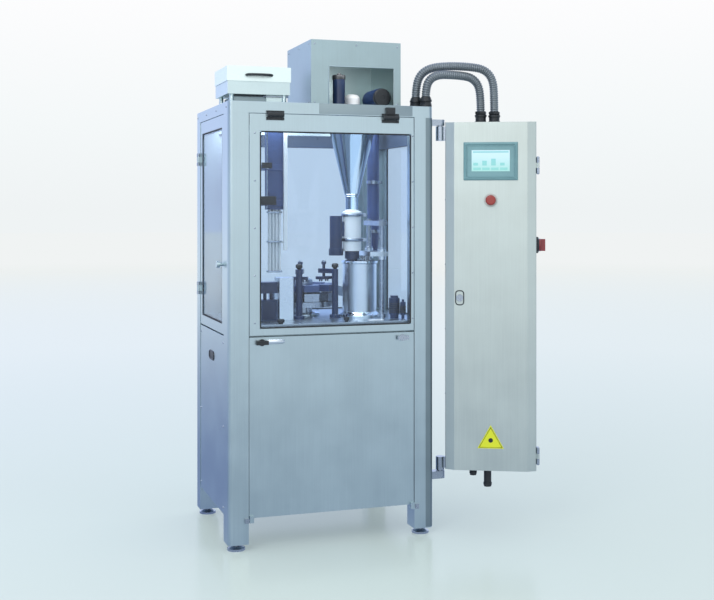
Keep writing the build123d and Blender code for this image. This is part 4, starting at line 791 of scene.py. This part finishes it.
MOTOR, HANDWHEEL = (-210, 330), (40, 560)
with piece("main_motor_fins", "machine", "dark_drives") as shapes:
    for i, (x, z) in enumerate(circle(MOTOR, 65, 16)):
        turn = Matrix.Rotation(-tau * i / 16, 4, "Y")
        slab(shapes, (x - 6, x + 6), (-88, 70), (z - 1.5, z + 1.5), 0.6, turn)
with piece("main_motor_fan_cover", "machine", "black_fittings") as shapes:
    profile = [(64, 0), (66, 0), (66, 26), (60, 34), (16, 36), (16, 32), (0, 32)]
    lathe(shapes, (-210, -108, 330), profile, "-y", 40)
    for radius in (28, 38, 48):
        ring = [(x, -144, z) for x, z in circle(MOTOR, radius, 36)]
        sweep(shapes, ring, 1.6, closed=True, sides=6)
with piece("pump_bands", "machine", "machined_steel") as shapes:
    for x in (90, 180, 276):
        lathe(shapes, (x, 0, 320), [(78, 0), (81, 0), (81, 14), (78, 14), (78, 0)], "x", 48)
        slab(shapes, (x, x + 14), (-8, 8), (397, 410), 1.5)
with piece("camshaft_rims", "camshaft", "machined_steel") as shapes:
    for x in (-180, -90, 0, 90, 180):
        lathe(shapes, (x - 5, 52, 560), [(57, 0), (60, 0), (60, 10), (57, 10), (57, 0)], "x", 48)
        lathe(shapes, (x - 16, 40, 560), [(18, 0), (27, 0), (27, 7), (18, 7), (18, 0)], "x", 28)
with piece("handwheel_grip", "camshaft", "black_fittings") as shapes:
    ring = [(-301, y, z) for y, z in circle(HANDWHEEL, 73, 40)]
    sweep(shapes, ring, 10, closed=True, sides=12)

# ---------------------------------------------------------------- control cabinet

FACE = -24
STOP = (180, 1327)
SIGN_U, SIGN_Z = 180, 387

# Screen: a dark rim round a lit display with plain generic fields
with piece("display_rim", "cabinet_door", "screen", CABINET) as shapes:
    for corner, level, bead in ((8, FACE - 9, 3), (14, FACE - 9.5, 2)):
        ring = outline((73 + corner, 287 - corner), (1406 + corner, 1557 - corner), 6)
        sweep(shapes, [(u, level, z) for u, z in ring], bead, closed=True, sides=8)
DISPLAY_U, DISPLAY_Z = (105, 255), (1441, 1525)
DISPLAY = glow("display", tone(150, 196, 192), tone(176, 204, 212), 0.46, 1.44, 1.50)
with piece("display_panel", "cabinet_door", "screen", CABINET, DISPLAY) as shapes:
    slab(shapes, DISPLAY_U, (FACE - 10.5, FACE - 8), DISPLAY_Z, 0.8)
FIELD = glow("display_fields", tone(128, 186, 182), tone(120, 178, 186), 0.5, 1.44, 1.52)
with piece("display_fields", "cabinet_door", "screen", CABINET, FIELD) as shapes:
    slab(shapes, (110, 250), (FACE - 11.1, FACE - 10), (1515, 1520), 0.3)
    for column in range(4):
        u = 112 + 35 * column
        slab(shapes, (u, u + 29), (FACE - 11.1, FACE - 10), (1446, 1456), 0.3)
        slab(shapes, (u, u + 18), (FACE - 11.1, FACE - 10), (1464, 1467 + 8 * (1 + column % 3)), 0.3)

# Emergency stop collar, lock plate and the sign
with piece("emergency_stop_collar", "cabinet_door", "electrics", CABINET) as shapes:
    lathe(shapes, (180, FACE, 1327), [(9, 0), (27, 0), (27, 2), (25.5, 3.2), (9, 3.2), (9, 0)], "-y", 36)
with piece("emergency_stop_ribs", "emergency_stop", "red_button", CABINET) as shapes:
    for u, z in circle(STOP, 19.6, 20):
        sweep(shapes, [(u, FACE - 14, z), (u, FACE - 24, z)], 1.3, sides=6)
with piece("lock_plate", "cabinet_door", "black_fittings", CABINET) as shapes:
    ring = outline((42, 74), (912, 968), 12)
    sweep(shapes, [(u, FACE - 1, z) for u, z in ring], 2.2, closed=True, sides=8)
with piece("warning_sign", "cabinet_door", "electrics", CABINET, SIGN_YELLOW) as shapes:
    corners = [(-52, -42), (52, -42), (0, 50)]
    low = [shapes.verts.new((SIGN_U + u, FACE - 0.6, SIGN_Z + z)) for u, z in corners]
    raised = bmesh.ops.extrude_face_region(shapes, geom=[shapes.faces.new(low)])["geom"]
    front = [made for made in raised if isinstance(made, bmesh.types.BMVert)]
    bmesh.ops.translate(shapes, vec=(0, -1, 0), verts=front)
with piece("sign_border", "cabinet_door", "black_fittings", CABINET) as shapes:
    corners = [(-45, -38), (45, -38), (0, 41)]
    sweep(shapes, [(SIGN_U + u, FACE - 1.7, SIGN_Z + z) for u, z in corners], 1.6, closed=True, sides=8)
    lathe(shapes, (180, FACE - 1.5, 377), [(0, 0), (9, 0), (9, 0.8), (0, 0.8)], "-y", 20)

# Main switch: round collar and screws
with piece("main_switch_collar", "control_cabinet", "black_fittings", CABINET) as shapes:
    lathe(shapes, (368, 70, 1148), [(26.5, 0), (30, 0), (30, 3), (28, 5), (26.5, 5), (26.5, 0)], "x", 36)
with piece("cabinet_screws", "control_cabinet", "machined_steel", CABINET) as shapes:
    for v in (44, 96):
        for z in (1122, 1174):
            dome_screw(shapes, (368, v, z), "x", 3)
    for z in range(290, 1640, 260):
        for v in (40, 210):
            dome_screw(shapes, (0, v, z), "-x", 3.5)
        for u in (40, 320):
            dome_screw(shapes, (u, 250, z), "y", 3.5)
with piece("cabinet_hinge_caps", "control_cabinet", "machined_steel", CABINET) as shapes:
    for z in (315, 1465):
        for end, axis in ((z + 32, "z"), (z - 32, "-z")):
            lathe(shapes, (366, -6, end), [(6, 0), (5.4, 2), (3, 3.4), (0, 4)], axis, 20)

# Cable glands under the cabinet: hexagon bodies, dome nuts and closed seals
with piece("gland_nuts", "control_cabinet", "black_fittings", CABINET) as shapes:
    for u, drop, radius in ((110, 34, 13), (168, 78, 15)):
        wide = radius + 8
        nut = [(radius, 0), (wide, 0), (wide, 7), (radius, 7), (radius, 0)]
        lathe(shapes, (u, 60, 242), nut, sides=6)
        dome = radius + 2
        end = [(0, 3), (4, 0), (radius - 3, 0), (dome, 7), (dome, 16), (radius, 18), (radius, 20)]
        lathe(shapes, (u, 60, 254 - drop), end, sides=24)

# Door gasket and the equipment on the mounting plate
with piece("cabinet_door_gasket", "control_cabinet", "rubber_seals", CABINET) as shapes:
    ring = outline((18, 342), (272, 1621), 10)
    sweep(shapes, [(u, -0.4, z) for u, z in ring], 2.4, closed=True, sides=8)
PLATE = 244.5
with piece("wiring_ducts", "control_cabinet", "electrics", CABINET) as shapes:
    for z in (1220, 1010, 820):
        for i in range(27):
            slab(shapes, (44 + 10 * i, 51 + 10 * i), (PLATE - 52, PLATE - 4), (z - 2, z + 32), 0.8)
        slab(shapes, (42, 316), (PLATE - 56, PLATE - 50), (z - 4, z + 34), 1.5)
with piece("terminal_rows", "control_cabinet", "dark_blue", CABINET) as shapes:
    for i in range(18):
        slab(shapes, (64 + 13 * i, 75 + 13 * i), (PLATE - 64, PLATE - 54), (890, 950), 1)
        slab(shapes, (64 + 13 * i, 75 + 13 * i), (PLATE - 80, PLATE - 69), (1090, 1170), 1)
GRILLES = [((66, 164), 120, (1284, 1466)), ((66, 204), 110, (574, 766)), ((236, 294), 80, (612, 728))]
with piece("drive_grilles", "control_cabinet", "black_fittings", CABINET) as shapes:
    for u, depth, z in GRILLES:
        for i in range(10):
            level = z[0] + (z[1] - z[0]) * i / 10
            slab(shapes, u, (PLATE - depth - 3, PLATE - depth + 1), (level, level + 6), 1)

# ---------------------------------------------------------------- studio

# The floor brightens with distance. Part of its light is its own, which keeps shadows soft, and
# what the steel mirrors of it is darker near the machine, a painted shadow that fades with
# distance, and cooler behind the machine
FLOOR_NEAR, FLOOR_MID, FLOOR_FAR = tone(205, 220, 218), tone(225, 233, 231), tone(240, 243, 243)
MIRRORED_FRONT, MIRRORED_BACK, MIRRORED_FAR = tone(146, 160, 176), tone(112, 128, 164), tone(222, 230, 238)
FLOOR_GLOW = (0.38, 1)
MIRROR_GAIN = 1.5

shapes = bmesh.new()
bmesh.ops.create_circle(shapes, cap_ends=True, radius=60, segments=96)
floor_mesh = bpy.data.meshes.new("floor")
shapes.to_mesh(floor_mesh)
shapes.free()
floor = bpy.data.objects.new("floor", floor_mesh)
bpy.context.collection.objects.link(floor)
floor_material = bpy.data.materials.new("floor")
floor_material.use_nodes = True
tree = floor_material.node_tree
spot = add_node(tree, "TexCoord").outputs["Object"]
away = add_node(tree, "VectorMath", {0: spot}, operation="LENGTH").outputs["Value"]
share = add_node(tree, "MapRange", {"Value": away, "From Min": 0.5, "From Max": 24}).outputs[0]
colour = ramp(tree, share, [(0, FLOOR_NEAR), (0.25, FLOOR_MID), (1, FLOOR_FAR)])
shader = tree.nodes["Principled BSDF"]
shader.inputs["Roughness"].default_value = 0.2
shader.inputs["Specular IOR Level"].default_value = 0.4
tree.links.new(colour, shader.inputs["Base Color"])
lit = add_node(tree, "Emission", {"Color": colour}).outputs[0]
own = add_node(tree, "MapRange", {
    "Value": away, "From Min": 3, "From Max": 20, "To Min": FLOOR_GLOW[0], "To Max": FLOOR_GLOW[1],
}).outputs[0]
seen = add_node(tree, "MixShader", {0: own, 1: shader.outputs[0], 2: lit}).outputs[0]
behind = add_node(tree, "SeparateXYZ", {0: spot}).outputs["Y"]
turned = add_node(tree, "MapRange", {"Value": behind, "From Min": -0.5, "From Max": 0.5}).outputs[0]
cool = ramp(tree, turned, [(0, MIRRORED_FRONT), (1, MIRRORED_BACK)])
fading = add_node(tree, "MapRange", {"Value": away, "From Min": 2, "From Max": 14}).outputs[0]
dimmed = add_node(tree, "MixRGB", {"Fac": fading, "Color1": cool, "Color2": MIRRORED_FAR}).outputs[0]
mirrored = add_node(tree, "Emission", {"Color": dimmed, "Strength": MIRROR_GAIN}).outputs[0]
glossy_ray = add_node(tree, "LightPath").outputs["Is Glossy Ray"]
mixed = add_node(tree, "MixShader", {0: glossy_ray, 1: seen, 2: mirrored}).outputs[0]
tree.links.new(mixed, tree.nodes["Material Output"].inputs["Surface"])
floor_mesh.materials.append(floor_material)

# Surroundings. The camera sees the floor's far colour rise to white; the steel mirrors a room
# that is bright in front and lavender behind; and a plain bright dome lights everything
world = bpy.data.worlds.new("studio")
bpy.context.scene.world = world
world.use_nodes = True
tree = world.node_tree
direction = add_node(tree, "SeparateXYZ", {0: add_node(tree, "TexCoord").outputs["Generated"]})
height = add_node(tree, "MapRange", {"Value": direction.outputs["Z"], "From Max": 0.18}).outputs[0]
seen = ramp(tree, height, [(0, tone(239, 243, 244)), (0.4, tone(244, 248, 249)), (1, tone(253, 253, 254))])
side = add_node(tree, "MapRange", {"Value": direction.outputs["X"], "From Min": -1}).outputs[0]
front = ramp(tree, side, [
    (0, tone(120, 140, 172)), (0.14, tone(150, 168, 192)), (0.28, tone(226, 230, 234)),
    (0.62, tone(232, 238, 242)), (0.82, tone(150, 164, 180)), (1, tone(104, 120, 144)),
])
back = ramp(tree, side, [(0, tone(180, 192, 228)), (0.45, tone(204, 216, 250)), (1, tone(196, 208, 222))])
turned = add_node(tree, "MapRange", {
    "Value": direction.outputs["Y"], "From Min": -0.3, "From Max": 0.4,
}).outputs[0]
room = add_node(tree, "MixRGB", {"Fac": turned, "Color1": front, "Color2": back}).outputs[0]
paths = add_node(tree, "LightPath").outputs
lighting = add_node(tree, "MixRGB", {
    "Fac": paths["Is Glossy Ray"], "Color1": tone(250, 253, 255), "Color2": room,
}).outputs[0]
sky = add_node(tree, "MixRGB", {
    "Fac": paths["Is Camera Ray"], "Color1": lighting, "Color2": seen,
}).outputs[0]
gain = add_node(tree, "MapRange", {
    "Value": paths["Is Glossy Ray"], "To Min": 1, "To Max": MIRROR_GAIN,
}).outputs[0]
tree.links.new(sky, tree.nodes["Background"].inputs["Color"])
tree.links.new(gain, tree.nodes["Background"].inputs["Strength"])


def panel_light(name, place, aim, size, power, colour=(1, 1, 1), only=None):
    """A soft light that the camera doesn't see, placed in millimetres and sized in metres.

    It lights everything, or only the CAD node that is named.
    """
    light = bpy.data.lights.new(name, "AREA")
    light.shape, light.size, light.size_y = "RECTANGLE", size[0], size[1]
    light.energy, light.color = power, colour
    holder = bpy.data.objects.new(name, light)
    holder.location = MACHINE @ Vector(place)
    holder.rotation_euler = (Vector(aim) - Vector(place)).to_track_quat("-Z", "Y").to_euler()
    holder.visible_camera = False
    bpy.context.collection.objects.link(holder)
    if only:
        lit = bpy.data.collections.new(name + "_lights")
        lit.objects.link(frame["nodes"][only])
        holder.light_linking.receiver_collection = lit


panel_light("key", (-2600, -3200, 3600), (0, 0, 1000), (2.2, 2.2), 60)
panel_light("chamber", (0, -60, 1640), (0, 0, 900), (0.6, 0.4), 5, (0.9, 0.95, 1))
panel_light("recess", (156, -170, 1850), (156, 40, 1750), (0.24, 0.05), 0.22)
panel_light("funnel", (249, -300, 1400), (160, -60, 1500), (0.6, 0.4), 1.2, only="powder_hopper")
